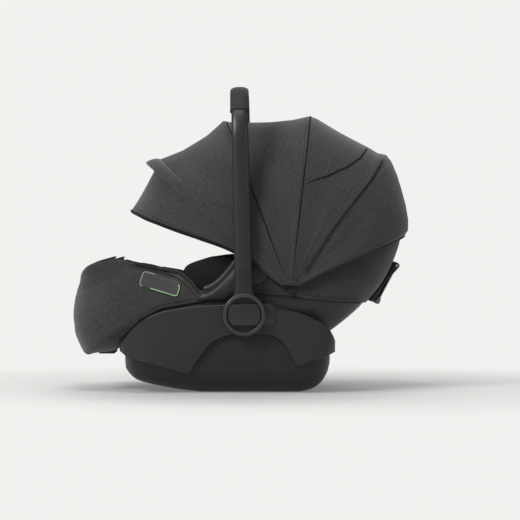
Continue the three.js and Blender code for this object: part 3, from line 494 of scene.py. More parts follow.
def metal(name, color, rough=0.32, metallic=1.0, streak=(1, 60, 1)):
    m = Maker(name)
    lines = m.noise(m.coordinates("Object", streak), 40, 3.0)
    broad = m.noise(m.coordinates(), 16, 2.0)
    m.join(m.math("ADD", m.math("MULTIPLY", lines, 0.16), rough - 0.08), m.shader.inputs["Roughness"])
    m.join(m.ramp(broad, [(0.3, tint(color, 0.92)), (0.7, tint(color, 1.1))]), m.shader.inputs["Base Color"])
    m.join(m.bump(lines, 0.03, 0.0003), m.shader.inputs["Normal"])
    m.set(Metallic=metallic)
    return m.material


def webbing_material():
    """Seat-belt webbing: fine diagonal ribs with finer bands across the strap."""
    m = Maker("webbing_weave")
    at = m.coordinates("UV")
    ribs = m.wave(at, 2 * math.pi / (20 * 0.0016), "DIAGONAL", 0.4)
    cross = m.wave(at, 2 * math.pi / (20 * 0.0009), "Y", 0.2)
    height = m.math("ADD", m.math("MULTIPLY", ribs, 0.7), m.math("MULTIPLY", cross, 0.3))
    m.join(m.ramp(height, [(0.2, (0.012, 0.012, 0.012)), (0.8, (0.034, 0.034, 0.035))]), m.shader.inputs["Base Color"])
    m.join(m.bump(height, 0.6, 0.0004), m.shader.inputs["Normal"])
    m.set(Roughness=0.7, Sheen_Weight=0.15)
    return m.material


MELANGE = fabric("melange_cloth", (0.040, 0.040, 0.0375), 0.5, 0.0014, sheen=0.30)
MELANGE_SOLID = fabric("melange_cloth_trim", (0.036, 0.036, 0.034), 0.45, 0.0014, kind="Object", sheen=0.25)
LINING = fabric("canopy_lining", (0.030, 0.030, 0.030), 0.12, 0.0009, sheen=0.1)
BLACK_KNIT = fabric("black_knit", (0.016, 0.016, 0.0165), 0.16, 0.0020, kind="Object", sheen=0.16, relief=0.8)
BLACK_TRIM = fabric("black_binding", (0.009, 0.009, 0.0095), 0.1, 0.0011, kind="Object", sheen=0.1)
PIPING = fabric("piping_cloth", (0.020, 0.020, 0.019), 0.15, 0.0010, kind="Object", sheen=0.15)
SEAM = fabric("seam_thread", (0.008, 0.008, 0.008), 0.1, 0.0008, kind="Object", sheen=0.0)
WEBBING = webbing_material()
SIDE_PLASTIC = plastic("side_shell_plastic", (0.019, 0.019, 0.0192), 0.40, specular=0.42)
TUB_PLASTIC = plastic("tub_plastic", (0.0135, 0.0135, 0.0138), 0.46, specular=0.4)
HUB_PLASTIC = plastic("hub_plastic", (0.020, 0.020, 0.0203), 0.34, grain=0.05, specular=0.45)
RING_PLASTIC = plastic("ring_plastic", (0.032, 0.032, 0.0323), 0.36, grain=0.05, specular=0.45)
GREY_PLASTIC = plastic("grey_plastic", (0.16, 0.16, 0.16), 0.5)
BLACK_PLASTIC = plastic("black_plastic", (0.009, 0.009, 0.0092), 0.36, grain=0.05, specular=0.4)
RED_PLASTIC = plastic("red_plastic", (0.42, 0.016, 0.022), 0.3, grain=0.04)
LEATHERETTE = leather("grip_leatherette", (0.012, 0.0108, 0.0115), 0.7)
ROLL_LEATHER = leather("rim_leatherette", (0.030, 0.030, 0.0302), 0.5)
# The side cushion's near-black leatherette, also painted shade in the gap behind the handle's sleeve.
SIDE_LEATHER_AND_SHADE = leather("side_leatherette_and_shade", (0.0115, 0.0115, 0.0118), 0.5)
TUBE_METAL = metal("handle_tube_satin", (0.030, 0.030, 0.0305), 0.38, 0.35, (1, 1, 0.02))
STEEL = metal("satin_steel", (0.42, 0.43, 0.45), 0.3)
FOAM = fabric("foam", (0.05, 0.05, 0.052), 0.2, 0.003, kind="Object", sheen=0.05)
ACCENT = plastic("pale_green_edge", (0.36, 0.62, 0.30), 0.5, grain=0.03)
PALE_EDGE = plastic("pale_grey_edge", (0.30, 0.31, 0.31), 0.5, grain=0.03)
PATCH_RUBBER = plastic("patch_rubber", (0.030, 0.030, 0.030), 0.6, grain=0.2)


# ------------------------------------------------------------------ the bucket's faces


def ray_profile(outline):
    points = []
    for x, z in outline:
        a = math.degrees(math.atan2(z - SEAT_CENTRE[1], x - SEAT_CENTRE[0]))
        points.append((a + 360 if a < 90 else a, math.hypot(x - SEAT_CENTRE[0], z - SEAT_CENTRE[1])))
    return smooth(points)


bucket_reach, rim_reach, sitting_reach = ray_profile(BUCKET), ray_profile(RIM), ray_profile(SITTING)
half_width = smooth(SEAT_HALF_WIDTH)


def on_ray(angle, reach, y):
    a = math.radians(angle)
    return (SEAT_CENTRE[0] + reach * math.cos(a), y, SEAT_CENTRE[1] + reach * math.sin(a))


def corner_at(angle):
    return min(SEAT_CORNER, 0.72 * (bucket_reach(angle) - rim_reach(angle)))


def half_section(width, rim, floor, corner, n):
    """Evenly spaced (y, reach) points from the rim down to the middle of the floor."""
    line = [(width, rim)]
    for k in range(9):
        a = k / 8 * math.pi / 2
        line.append((width - corner + corner * math.cos(a), floor - corner + corner * math.sin(a)))
    line.append((0.0, floor))
    return resample(line, n)


def bucket_half(angle, offset, lift=0.0, n=26):
    floor = bucket_reach(angle) + offset
    rim = min(rim_reach(angle) - lift, floor - 2)
    return half_section(half_width(angle) + offset, rim, floor, max(corner_at(angle) + offset, 1.0), n)


def sitting_half(angle, below, inset, lift=0.0, n=26):
    floor = min(sitting_reach(angle) + below, bucket_reach(angle) - SEAT_SHELL - 1)
    rim = min(rim_reach(angle) - lift, floor - 4)
    depth = max(floor - rim_reach(angle), 4)
    corner = max(min(corner_at(angle) - inset, 0.8 * depth + 0.2 * below), 1.0)
    corner = min(corner, floor - rim - 0.5)
    return half_section(half_width(angle) - inset, rim, floor, corner, n)


def both_sides(angle, half):
    """A row of points across the seat from one rim to the other."""
    left = [on_ray(angle, d, -y) for y, d in half]
    right = [on_ray(angle, d, y) for y, d in reversed(half[:-1])]
    return left + right


def sweep(name, path, section, material, slot, up=(0, 1, 0), scale=None, **kwargs):
    """A closed section carried along points. section holds (along up, along the path's normal) in mm."""
    pts = [Vector(p) for p in path]
    up = Vector(up)
    rings, uvs, run = [], [], 0.0
    around = [0.0]
    for a, b in zip(section, section[1:]):
        around.append(around[-1] + math.dist(a, b) * MM)
    for i, p in enumerate(pts):
        ahead = (pts[min(i + 1, len(pts) - 1)] - pts[max(i - 1, 0)]).normalized()
        side = (up - ahead * up.dot(ahead)).normalized()
        normal = ahead.cross(side)
        su, sv = scale(i / (len(pts) - 1)) if scale else (1, 1)
        rings.append([tuple(p + side * (u * su) + normal * (v * sv)) for u, v in section])
        run += (pts[i] - pts[i - 1]).length * MM if i else 0.0
        uvs += [(a, run) for a in around]
    n = len(section)
    verts = [p for ring in rings for p in ring]
    faces = [[i * n + j, i * n + (j + 1) % n, (i + 1) * n + (j + 1) % n, (i + 1) * n + j]
             for i in range(len(rings) - 1) for j in range(n)]
    faces += [list(range(n)), [(len(rings) - 1) * n + j for j in reversed(range(n))]]
    return make(name, verts, faces, material, slot, uvs=uvs, **kwargs)


def rounded_bar(wide, thick, radius, steps=3):
    """A rounded rectangle as a closed section."""
    w, t = wide / 2, thick / 2
    return rounded_outline([(-w, -t), (w, -t), (w, t), (-w, t)], radius, steps)


def catmull(points, n):
    """n + 1 points on a smooth curve through the given ones."""
    p = [np.array(q, float) for q in points]
    p = [2 * p[0] - p[1]] + p + [2 * p[-1] - p[-2]]
    line = []
    for a, b, c, d in zip(p, p[1:], p[2:], p[3:]):
        for t in np.linspace(0, 1, 12, endpoint=False):
            line.append(0.5 * (2 * b + (c - a) * t + (2 * a - 5 * b + 4 * c - d) * t * t
                               + (3 * b - a - 3 * c + d) * t ** 3))
    line.append(p[-2])
    return resample(line, n)


def stitches(name, path, body, material=None, length=2.8, gap=1.7, radius=0.38, lift=(0, 0, 0)):
    """A row of separate thread stitches lying along a path, as one piece."""
    total = sum(math.dist(a, b) for a, b in zip(path, path[1:]))
    count = max(int(total / (length + gap)), 1)
    fine = resample(path, count * 8)
    verts, faces = [], []
    for k in range(count):
        a, b = Vector(fine[k * 8]) + Vector(lift), Vector(fine[k * 8 + 5]) + Vector(lift)
        ahead = (b - a).normalized()
        side = ahead.cross(Vector((0, 1, 0)) if abs(ahead.y) < 0.8 else Vector((0, 0, 1))).normalized()
        up = side.cross(ahead)
        start = len(verts)
        for t, r in ((0, 0.4), (0.2, 1), (0.8, 1), (1, 0.4)):
            c = a.lerp(b, t)
            verts += [tuple(c + side * (radius * r * math.cos(q * math.pi / 3))
                            + up * (radius * r * math.sin(q * math.pi / 3))) for q in range(6)]
        for i in range(3):
            faces += [[start + i * 6 + j, start + i * 6 + (j + 1) % 6, start + (i + 1) * 6 + (j + 1) % 6,
                       start + (i + 1) * 6 + j] for j in range(6)]
        faces += [[start + j for j in reversed(range(6))], [start + 18 + j for j in range(6)]]
    return make(name, verts, faces, material or SEAM, "black_cloth", body=body)


def layer_loop(outer, inner, rounding):
    """A closed loop round two matching polylines, with its two ends rounded."""
    def cap(a, b, ahead):
        c, half = (a + b) / 2, (a - b) / 2
        return [c + half * math.cos(t) + ahead * (rounding * math.sin(t)) for t in spread(0, math.pi, 8)]

    o, n = [np.array(p, float) for p in outer], [np.array(p, float) for p in inner]
    head = (o[0] - o[1]) / np.linalg.norm(o[0] - o[1])
    tail = (o[-1] - o[-2]) / np.linalg.norm(o[-1] - o[-2])
    o[0], n[0] = o[0] - head * rounding, n[0] - head * rounding
    o[-1], n[-1] = o[-1] - tail * rounding, n[-1] - tail * rounding
    return [tuple(p) for p in o[:-1] + cap(o[-1], n[-1], tail) + n[-2:0:-1] + cap(n[0], o[0], head)[:-1]]


# ------------------------------------------------------------------ carrier
arch, rocker, shell_lower = smooth(ARCH), smooth(ROCKER), straight(SHELL_LOWER)
END_SHARE = 0.985


def tub_half(share, offset, top_drop, n, stop=None):
    """(x, [(y, z)]) down one side of the tub's section at a share of its length."""
    x = (TUB_FRONT + TUB_REAR) / 2 + share * ((TUB_REAR - TUB_FRONT) / 2 + offset)
    w = (TUB_HALF_WIDTH + offset) * (1 - abs(share) ** TUB_PLAN) ** (1 / TUB_PLAN)
    top, low = arch(x) - top_drop, rocker(x) - offset
    corner = min(TUB_CORNER, 0.7 * (arch(x) - rocker(x))) + offset
    line = [(w, top)]
    for k in range(13):
        a = k / 12 * math.pi / 2
        line.append((w - corner + corner * math.cos(a), low + corner - corner * math.sin(a)))
    line.append((0.0, low))
    if stop is None:
        return x, resample(line, n)
    kept = [line[0]]
    for a, b in zip(line, line[1:]):
        if b[1] < stop(x):
            t = (a[1] - stop(x)) / max(a[1] - b[1], 1e-6)
            kept.append((a[0] + (b[0] - a[0]) * t, stop(x)))
            break
        kept.append(b)
    return x, resample(kept, n)


def carrier():
    shares = [-END_SHARE * math.cos(math.pi * i / 90) for i in range(91)]
    outer, inner = [], []
    for share in shares:
        for rows, offset in ((outer, 0.0), (inner, -3.5)):
            x, half = tub_half(share, offset, 5, 30)
            rows.append([(x, -y, z) for y, z in half] + [(x, y, z) for y, z in reversed(half[:-1])])
    rows, cols = len(outer), len(outer[0])
    verts = [p for r in outer for p in r] + [p for r in inner for p in r]
    n, faces = rows * cols, []
    for i in range(rows - 1):
        for j in range(cols - 1):
            a = i * cols + j
            faces += [[a, a + 1, a + cols + 1, a + cols], [a + n + cols, a + n + cols + 1, a + n + 1, a + n]]
        for j in (0, cols - 1):
            a, b = i * cols + j, (i + 1) * cols + j
            faces.append([a, b, b + n, a + n])
    for i in (0, rows - 1):
        row = [i * cols + j for j in range(cols)]
        faces += [row, [q + n for q in reversed(row)], [row[0], row[-1], row[-1] + n, row[0] + n]]
    tub = make("tub_body", verts, faces, TUB_PLASTIC, "dark_plastic")
    bevel(tub, 1.6, angle=50)
    finish_piece(tub, TUB_PLASTIC, "carrier", ("carrier_tub",))

    for word, side in SIDES.items():
        rows_out, rows_in = [], []
        for share in shares:
            for rows, offset in ((rows_out, 9.8), (rows_in, 0.8)):
                x, half = tub_half(share, offset, 0, 34, shell_lower)
                rows.append([(x, y, z) for y, z in half])
        for rows in (rows_out, rows_in):
            first, last = rows[0], rows[-1]
            front = [[(x, 62 + (y - 62) * t, z) for x, y, z in first] for t in spread(0, 0.96, 8)]
            rear = [[(x, 62 + (y - 62) * t, z) for x, y, z in last] for t in spread(0.96, 0, 8)]
            rows[:] = front + rows + rear
        loops = [layer_loop([(x, y * side, z) for x, y, z in a], [(x, y * side, z) for x, y, z in b], 2.6)
                 for a, b in zip(rows_out, rows_in)]
        shell = loft(f"side_shell_skin_{word}", loops, SIDE_PLASTIC, "satin_plastic")
        finish_piece(shell, SIDE_PLASTIC, "carrier", (f"side_shell_{word}",))
        refined(f"belt_guide_{word}", f"belt_hook_{word}", HUB_PLASTIC, "carrier", edge=1.6)


# ------------------------------------------------------------------ handle
def leaned(x, y, z):
    c, s = math.cos(HANDLE_LEAN), math.sin(HANDLE_LEAN)
    dx, dz = x - HUB[0], z - HUB[1]
    return (HUB[0] + dx * c + dz * s, y, HUB[1] - dx * s + dz * c)


def lean_object(obj):
    for v in obj.data.vertices:
        v.co = Vector(leaned(*(v.co / MM))) * MM


def handle():
    bend_z = CROSSBAR_Z - HANDLE_BEND
    half = [(ARM_Y, 192.0), (ARM_Y, bend_z)]
    half = resample(half, 40)
    half += [(ARM_Y - HANDLE_BEND + HANDLE_BEND * math.cos(a), bend_z + HANDLE_BEND * math.sin(a))
             for a in spread(0.02, math.pi / 2, 36)]
    half += [(y, CROSSBAR_Z) for y in spread(ARM_Y - HANDLE_BEND - 8, 0, 14)]
    path = [(0.0, -y, z) for y, z in half] + [(0.0, y, z) for y, z in reversed(half[:-1])]

    def swell(t):
        low = min(t, 1 - t) * 2
        return 1.05 - 0.05 * ease(0.0, 0.7, low), 1.0

    bar = sweep("handle_tube_bar", path, oval(31.5, TUBE_THICK), TUBE_METAL, "dark_tube", up=(1, 0, 0), scale=swell)
    lean_object(bar)
    finish_piece(bar, TUBE_METAL, "handle", ("handle_tube",))
    grip_path = resample([p for p in path if p[2] > GRIP_FROM_Z - 1], 150)
    lip = 4.0

    def wrap(t):
        end = min(t, 1 - t) * 700
        bead = 0.7 if end < lip else 0.0
        wear = 0.25 * fold_noise(t * 40, 0, 0, 1.3)
        return ((31.5 + 2 * GRIP_WALL + bead * 2 + wear) / 31.5, (TUBE_THICK + 2 * GRIP_WALL + bead * 2) / TUBE_THICK)

    grip = sweep("handle_grip_wrap", grip_path, oval(31.5, TUBE_THICK, 36), LEATHERETTE, "leatherette", up=(1, 0, 0),
                 scale=wrap)
    lean_object(grip)
    finish_piece(grip, LEATHERETTE, "handle", ("handle_grip",))
    seam = []
    for i, p in enumerate(grip_path[2:-2], 2):
        ahead = (Vector(grip_path[i + 1]) - Vector(grip_path[i - 1])).normalized()
        normal = ahead.cross(Vector((1, 0, 0)))
        seam.append(leaned(*(Vector(p) + normal * (TUBE_THICK / 2 + GRIP_WALL + 0.1))))
    if Vector(seam[len(seam) // 2]).z > CROSSBAR_Z + 5:
        seam = []
        for i, p in enumerate(grip_path[2:-2], 2):
            ahead = (Vector(grip_path[i + 1]) - Vector(grip_path[i - 1])).normalized()
            normal = ahead.cross(Vector((-1, 0, 0)))
            seam.append(leaned(*(Vector(p) + normal * (TUBE_THICK / 2 + GRIP_WALL + 0.1))))
    stitches("grip_stitching", seam, "handle", radius=0.5)

    for word, side in SIDES.items():
        ring = [(RING_INNER, RING_LOW), (RING_OUTER - 1.5, RING_LOW), (RING_OUTER, RING_LOW + 1.5),
                (RING_OUTER, RING_HIGH - 3.0), (RING_OUTER - 0.9, RING_HIGH - 0.9), (RING_OUTER - 3.0, RING_HIGH),
                (RING_INNER + 1.4, RING_HIGH), (RING_INNER + 0.3, RING_HIGH - 0.5), (RING_INNER, RING_HIGH - 1.6)]
        hub = lathe(f"hub_ring_{word}", ring, side, RING_PLASTIC, "satin_plastic", segments=96)
        sharp_by_angle(hub, 50)
        finish_piece(hub, RING_PLASTIC, "handle", (f"handle_socket_{word}",))
        sharp_by_angle(hub, 50)
        web = lathe(f"hub_web_{word}", [(0.02, RING_LOW), (RING_INNER + 0.4, RING_LOW),
                                        (RING_INNER + 0.4, RING_LOW + WEB), (0.02, RING_LOW + WEB)],
                    side, BLACK_PLASTIC, "dark_plastic", segments=48)
        finish_piece(web, BLACK_PLASTIC, "handle")
        sharp_by_angle(web, 40)
        neck = [(0.0, side * ARM_Y, z) for z in (183, 188, 194, 200, 210, 222, 229, 231.5, 232.5, 234)]
        width = [42, 39.5, 36.5, 35.2, 35, 35, 35, 35.4, 36.6, 36.2]
        thick = [13.4, 14.4, 15.8, 16.4, 16.5, 16.5, 16.5, 16.8, 18.0, 17.6]
        shape = oval(35, 16.5, 40, 0.72)
        rings = [[(p[0] + u * w / 35, p[1] + v * t / 16.5, p[2]) for u, v in shape]
                 for p, w, t in zip(neck, width, thick)]
        sleeve = loft(f"handle_sleeve_{word}", rings, TUB_PLASTIC, "dark_plastic")
        lean_object(sleeve)
        finish_piece(sleeve, TUB_PLASTIC, "handle")
        sharp_by_angle(sleeve, 50)
        edge = math.asin(BUTTON_HALF / 31.2)
        outline = [(31.2 * math.cos(a), 31.2 * math.sin(a)) for a in spread(-edge, edge, 18)]
        outline += [(-x, -z) for x, z in outline]
        ys = sorted((side * 213.5, side * 217.3))
        plate = slab(f"release_button_{word}", [(HUB[0] + x, HUB[1] + z) for x, z in outline], *ys, HUB_PLASTIC,
                     "satin_plastic", edge=1.4, body=f"handle_button_{word[0]}", replaces=(f"handle_button_{word}",))
        lean_object(plate)
        bars = []
        for k in range(-2, 3):
            bars.append(rounded_outline([(HUB[0] - 9, HUB[1] + k * 4.2 - 0.9), (HUB[0] + 9, HUB[1] + k * 4.2 - 0.9),
                                         (HUB[0] + 9, HUB[1] + k * 4.2 + 0.9), (HUB[0] - 9, HUB[1] + k * 4.2 + 0.9)],
                                        0.7, 3))
        for k, bar_outline in enumerate(bars):
            slab(f"button_grip_bar_{word}_{k}", bar_outline, *sorted((side * 217.0, side * 217.9)), HUB_PLASTIC,
                 "satin_plastic", edge=0.25, body=f"handle_button_{word[0]}")


# ------------------------------------------------------------------ soft pieces
def puffed(node, name, material, body, voxel=5.0, pressure=4.0, cap=3.0, pinned=None, settle=2,
           levels=1, tuck=False):
    """A stuffed piece grown from its CAD solid: an even skin, blown up a little as cloth and capped."""
    obj = bpy.data.objects.new(name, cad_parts[node].data.copy())
    bpy.context.scene.collection.objects.link(obj)
    m = obj.modifiers.new("skin", "REMESH")
    m.mode, m.voxel_size = "VOXEL", voxel * MM
    apply_modifiers(obj)
    bm = bmesh.new()
    bm.from_mesh(obj.data)
    for _ in range(settle):
        bmesh.ops.smooth_vert(bm, verts=bm.verts, factor=0.5, use_axis_x=True, use_axis_y=True, use_axis_z=True)
    bm.to_mesh(obj.data)
    bm.free()
    rest = np.array([v.co[:] for v in obj.data.vertices])
    hold = np.array([pinned(*(p / MM)) if pinned else 0.0 for p in rest])
    group = obj.vertex_groups.new(name="held")
    for i, w in enumerate(hold):
        if w > 0.02:
            group.add([i], float(w), "REPLACE")
    cloth = obj.modifiers.new("puff", "CLOTH")
    s = cloth.settings
    s.quality, s.mass, s.air_damping = 6, 0.3, 2.0
    s.tension_stiffness = s.compression_stiffness = 12
    s.bending_stiffness = 1.2
    s.use_pressure, s.uniform_pressure_force = True, pressure
    s.effector_weights.gravity = 0.0
    if pinned:
        s.vertex_group_mass = "held"
    cloth.point_cache.frame_start, cloth.point_cache.frame_end = 1, 14
    for f in range(1, 15):
        bpy.context.scene.frame_set(f)
    apply_modifiers(obj)
    bpy.context.scene.frame_set(1)
    now = np.array([v.co[:] for v in obj.data.vertices])
    move = now - rest
    size = np.linalg.norm(move, axis=1, keepdims=True)
    move *= np.minimum(1.0, cap * MM / np.maximum(size, 1e-9))
    for v, p in zip(obj.data.vertices, rest + move):
        v.co = p
    obj.data.update()
    for v in obj.data.vertices:
        x, y, z = v.co / MM
        if tuck:
            angle = math.degrees(math.atan2(z - SEAT_CENTRE[1], x - SEAT_CENTRE[0])) % 360
            least = rim_reach(angle) + 2.0 + 9.0 * (1 - ease(205, 214, angle))
            d = math.hypot(x - SEAT_CENTRE[0], z - SEAT_CENTRE[1])
            if d < least:
                v.co = Vector(on_ray(angle, least, y)) * MM
                x, y, z = v.co / MM
        v.co += v.normal * (0.45 * fold_noise(x, y, z, 16, 3.1) - 1.3 * (pinned(x, y, z) if pinned else 0.0)) * MM
    subdivide(obj, levels)
    finish_piece(obj, material, body, (node,))
    return obj


def sewn(obj):
    """Adds up the area a fitted cloth covers, half its faces' area; the sum is not used."""
    bm = bmesh.new()
    bm.from_mesh(obj.data)
    covered = sum(f.calc_area() for f in bm.faces) / 2
    bm.free()


HEM_STEP = 4.0


def hem_path(region, offset, side):
    """The line where a side-view outline crosses the cover, on one side."""
    line = resample(region, max(int(sum(math.dist(a, b) for a, b in zip(region, region[1:])) / HEM_STEP), 4))
    out = []
    for x, z in line:
        y = cover_y(x, z, offset)
        if y is not None:
            out.append((x, side * y, z))
    return out


def cover_y(x, z, offset):
    """How far out the bucket's face, grown by offset, lies at a side-view point; None off the bucket."""
    angle = math.degrees(math.atan2(z - SEAT_CENTRE[1], x - SEAT_CENTRE[0]))
    angle = angle + 360 if angle < 90 else angle
    d = math.hypot(x - SEAT_CENTRE[0], z - SEAT_CENTRE[1])
    half = bucket_half(angle, offset, 0, 90)
    reach = [p[1] for p in half]
    if d > reach[-1] + 0.5 or d < reach[0] - 6:
        return None
    return float(np.interp(d, reach, [p[0] for p in half]))


def cut_to(obj, polygon):
    """Keeps the part of obj inside a side-view outline."""
    n = len(polygon)
    verts = [(x * MM, -0.3, z * MM) for x, z in polygon] + [(x * MM, 0.3, z * MM) for x, z in polygon]
    faces = [list(range(n)), list(reversed(range(n, 2 * n)))]
    faces += [[i, (i + 1) % n, (i + 1) % n + n, i + n] for i in range(n)]
    mesh = bpy.data.meshes.new("cutter")
    mesh.from_pydata(verts, [], faces)
    cutter = bpy.data.objects.new("cutter", mesh)
    bpy.context.scene.collection.objects.link(cutter)
    face_out(cutter)
    m = obj.modifiers.new("cut", "BOOLEAN")
    m.operation, m.object, m.solver = "INTERSECT", cutter, "EXACT"
    apply_modifiers(obj)
    bpy.data.objects.remove(cutter)
    bpy.data.meshes.remove(mesh)


def lip_half(angle, offset):
    """The leg rest's rolled front edge, in front of the shell's own lip."""
    grown = offset + COVER_CLEAR + COVER
    floor = FOOT_ROLL_REACH(angle) - FOOT_FULL(angle) + offset
    corner = 12 + (corner_at(FOOT_ROLL_END) + grown - 12) * ease(FOOT_ROLL_RAY, FOOT_ROLL_END, angle)
    rim = min(rim_reach(angle), floor - 2)
    return half_section(half_width(angle) + grown, rim, floor, min(corner, floor - rim - 1), 34)


def cover(name, node, rays, polygon, seed, slack, lip=None):
    """A fitted outer cover: soft broad folds on its outer face, cut along its hem."""
    outer, inner = [], []
    for angle in rays:
        rolled = lip is not None and angle < FOOT_ROLL_END
        half = lip_half(angle, 0.0) if rolled else bucket_half(angle, COVER_CLEAR + COVER, 0.0, 34)
        soft = []
        for k, (y, d) in enumerate(half):
            d += lip(angle) * ease(46, 62, y) + FOOT_FULL(angle) if lip else 0.0
            x, _, z = on_ray(angle, d, y)
            pull = slack * (fold_noise(x, y, z, 60, seed) + 0.5 * fold_noise(x * 0.5, y, z, 24, seed + 5)) - slack
            soft.append((y + pull * (1 if k < 22 else 0.3), d + (pull if k > 18 else 0)))
        outer.append(both_sides(angle, soft))
        drop = [(y, d + (lip(angle) * ease(46, 62, y) + FOOT_FULL(angle) if lip else 0.0))
                for y, d in (lip_half(angle, -COVER) if rolled else bucket_half(angle, COVER_CLEAR, 0.0, 34))]
        inner.append(both_sides(angle, drop))
    obj = cloth_sheet(name, outer, inner, MELANGE, "melange_cloth")
    cut_to(obj, polygon)
    finish_piece(obj, MELANGE, "seat", (node,))
    sharp_by_angle(obj, 55)
    return obj


FOOT_HEM = [(-262, 50), (-262, 60), (-247, 86), (-240, 99), (-200, 141), (-161, 161), (-95, 173), (-76, 175)]
FOOT_ROLL_RAY, FOOT_ROLL_END = 195.4, 200.4
FOOT_FULL = smooth([(195.4, 0), (198, 7), (200.4, 12), (204, 12), (209, 10), (213, 10), (217, 7), (220, 3), (222, 0)])
FOOT_ROLL_REACH = smooth([(FOOT_ROLL_RAY, 296), (195.9, 314), (197.3, 330), (199.2, 341),
                          (FOOT_ROLL_END, bucket_reach(FOOT_ROLL_END) + COVER_CLEAR + COVER + 12)])
FOOT_LIP = [(211, 0), (214, 4), (217.5, 14), (219.4, 21), (220.4, 23), (221.2, 17), (222.4, 13), (223.6, 10),
            (225, 0)]
FOOT_REGION = [(-365, 40), (-262, 40), (-262, 60), (-247, 86), (-240, 99), (-200, 141), (-161, 161), (-95, 173),
               (-76, 175), (-73, 184), (-88, 204), (-130, 300), (-365, 300)]
BACK_HEM = [(-84, 202), (-68, 186), (-30, 184), (32, 190), (86, 185), (124, 179), (180, 173), (224, 171)]
BACK_REGION = [(-68, 186), (-30, 184), (32, 190), (86, 185), (124, 179), (180, 173), (224, 171), (246, 172),
               (300, 230), (345, 300), (345, 340), (-30, 340), (-86, 208)]


def patch_on_cover(word, side):
    """The rubber patch sewn on the leg rest's side, with its pale edges."""
    middle, tilt, length, height = (-162.0, 208.5), math.radians(-17), 80.0, 30.0

    def at(u, v, offset):
        x = middle[0] + u * math.cos(tilt) - v * math.sin(tilt)
        z = middle[1] + u * math.sin(tilt) + v * math.cos(tilt)
        y = cover_y(x, z, offset)
        return (x, side * (y if y is not None else 170.0), z)

    def grid(offset):
        rows = []
        for v in spread(-1, 1, 12):
            row = []
            for u in spread(-1, 1, 30):
                corner = 1 - 0.10 * abs(v) ** 4 * (1 if u < 0 else 0.6)
                row.append(at(u * length / 2 * corner, v * height / 2 * (1 - 0.08 * abs(u) ** 4), offset))
            rows.append(row)
        return rows

    base = cloth_sheet(f"leg_patch_{word}", grid(5.6), grid(4.2), PATCH_RUBBER, "dark_plastic")
    bevel(base, 0.5, angle=50, segments=2)
    finish_piece(base, PATCH_RUBBER, "seat")
    edge = [(-30, -14.4), (-35.5, -13.4), (-37.6, -9), (-37.8, 0), (-37.4, 9), (-35.2, 13.2), (-28, 14.3), (-14, 14.4)]
    line = [at(u, v, 5.7) for u, v in catmull(edge, 40)]
    tube(f"leg_patch_pale_edge_{word}", line, 0.9, PALE_EDGE, "grey_plastic", sides=6, body="seat")
    green = [(-16, -13.6), (-2, -13.8), (20, -13.6), (34, -13.4), (37.6, -10.5), (38.2, -3), (37.8, 4), (34, 9)]
    line = [at(u, v, 5.7) for u, v in catmull(green, 50)]
    tube(f"leg_patch_green_edge_{word}", line, 0.85, ACCENT, "satin_plastic", sides=6, body="seat")
    for k, v in enumerate((-6.0, 0.0, 6.0)):
        line = [at(u, v, 5.65) for u in spread(-27, 27, 24)]
        tube(f"leg_patch_ridge_{word}_{k}", line, 0.5, PATCH_RUBBER, "dark_plastic", sides=6, body="seat")


def side_cushion_and_shade(word, side):
    """The dark leather cushion over the bucket's side, under the rim and behind the handle's sleeve; behind the sleeve
    its near-black also stands in as painted shade for the shaded gap there.
    """
    outer, inner = [], []
    for a in spread(239.5, 318, 96):
        top = rim_reach(a) + 1.0
        deep = min(62, 154 / abs(math.sin(math.radians(a))) - top) * (1 - 0.8 * ease(286, 318, a)) + 1
        row_out, row_in = [], []
        for t in spread(0, 1, 24):
            d = top + deep * t
            half = bucket_half(a, COVER_CLEAR + COVER, 0, 60)
            y = float(np.interp(d, [p[1] for p in half], [p[0] for p in half]))
            x, _, z = on_ray(a, d, 0)
            puff = 6.2 * math.sin(math.pi * min(max(t, 0.0), 1.0)) ** 0.55
            puff *= 0.55 + 0.45 * ease(239.5, 247, a) * (1 - ease(305, 318, a))
            puff *= 1 + 0.10 * fold_noise(x, 0, z, 22, 4.4)
            row_out.append((x, side * (y + 0.3 + puff), z))
            row_in.append((x, side * (y - 0.6), z))
        outer.append(row_out)
        inner.append(row_in)
    obj = cloth_sheet(f"seat_side_cushion_{word}", outer, inner, SIDE_LEATHER_AND_SHADE, "leatherette", body="seat")


BOLSTER_TOP = smooth([(-121, 229), (-112, 243), (-96, 251), (-58, 262), (-20, 267), (40, 281), (110, 300), (126, 296)])
BOLSTER_BOTTOM = smooth([(-121, 222), (-100, 205), (-60, 178), (-20, 166), (40, 168), (100, 196), (126, 224)])


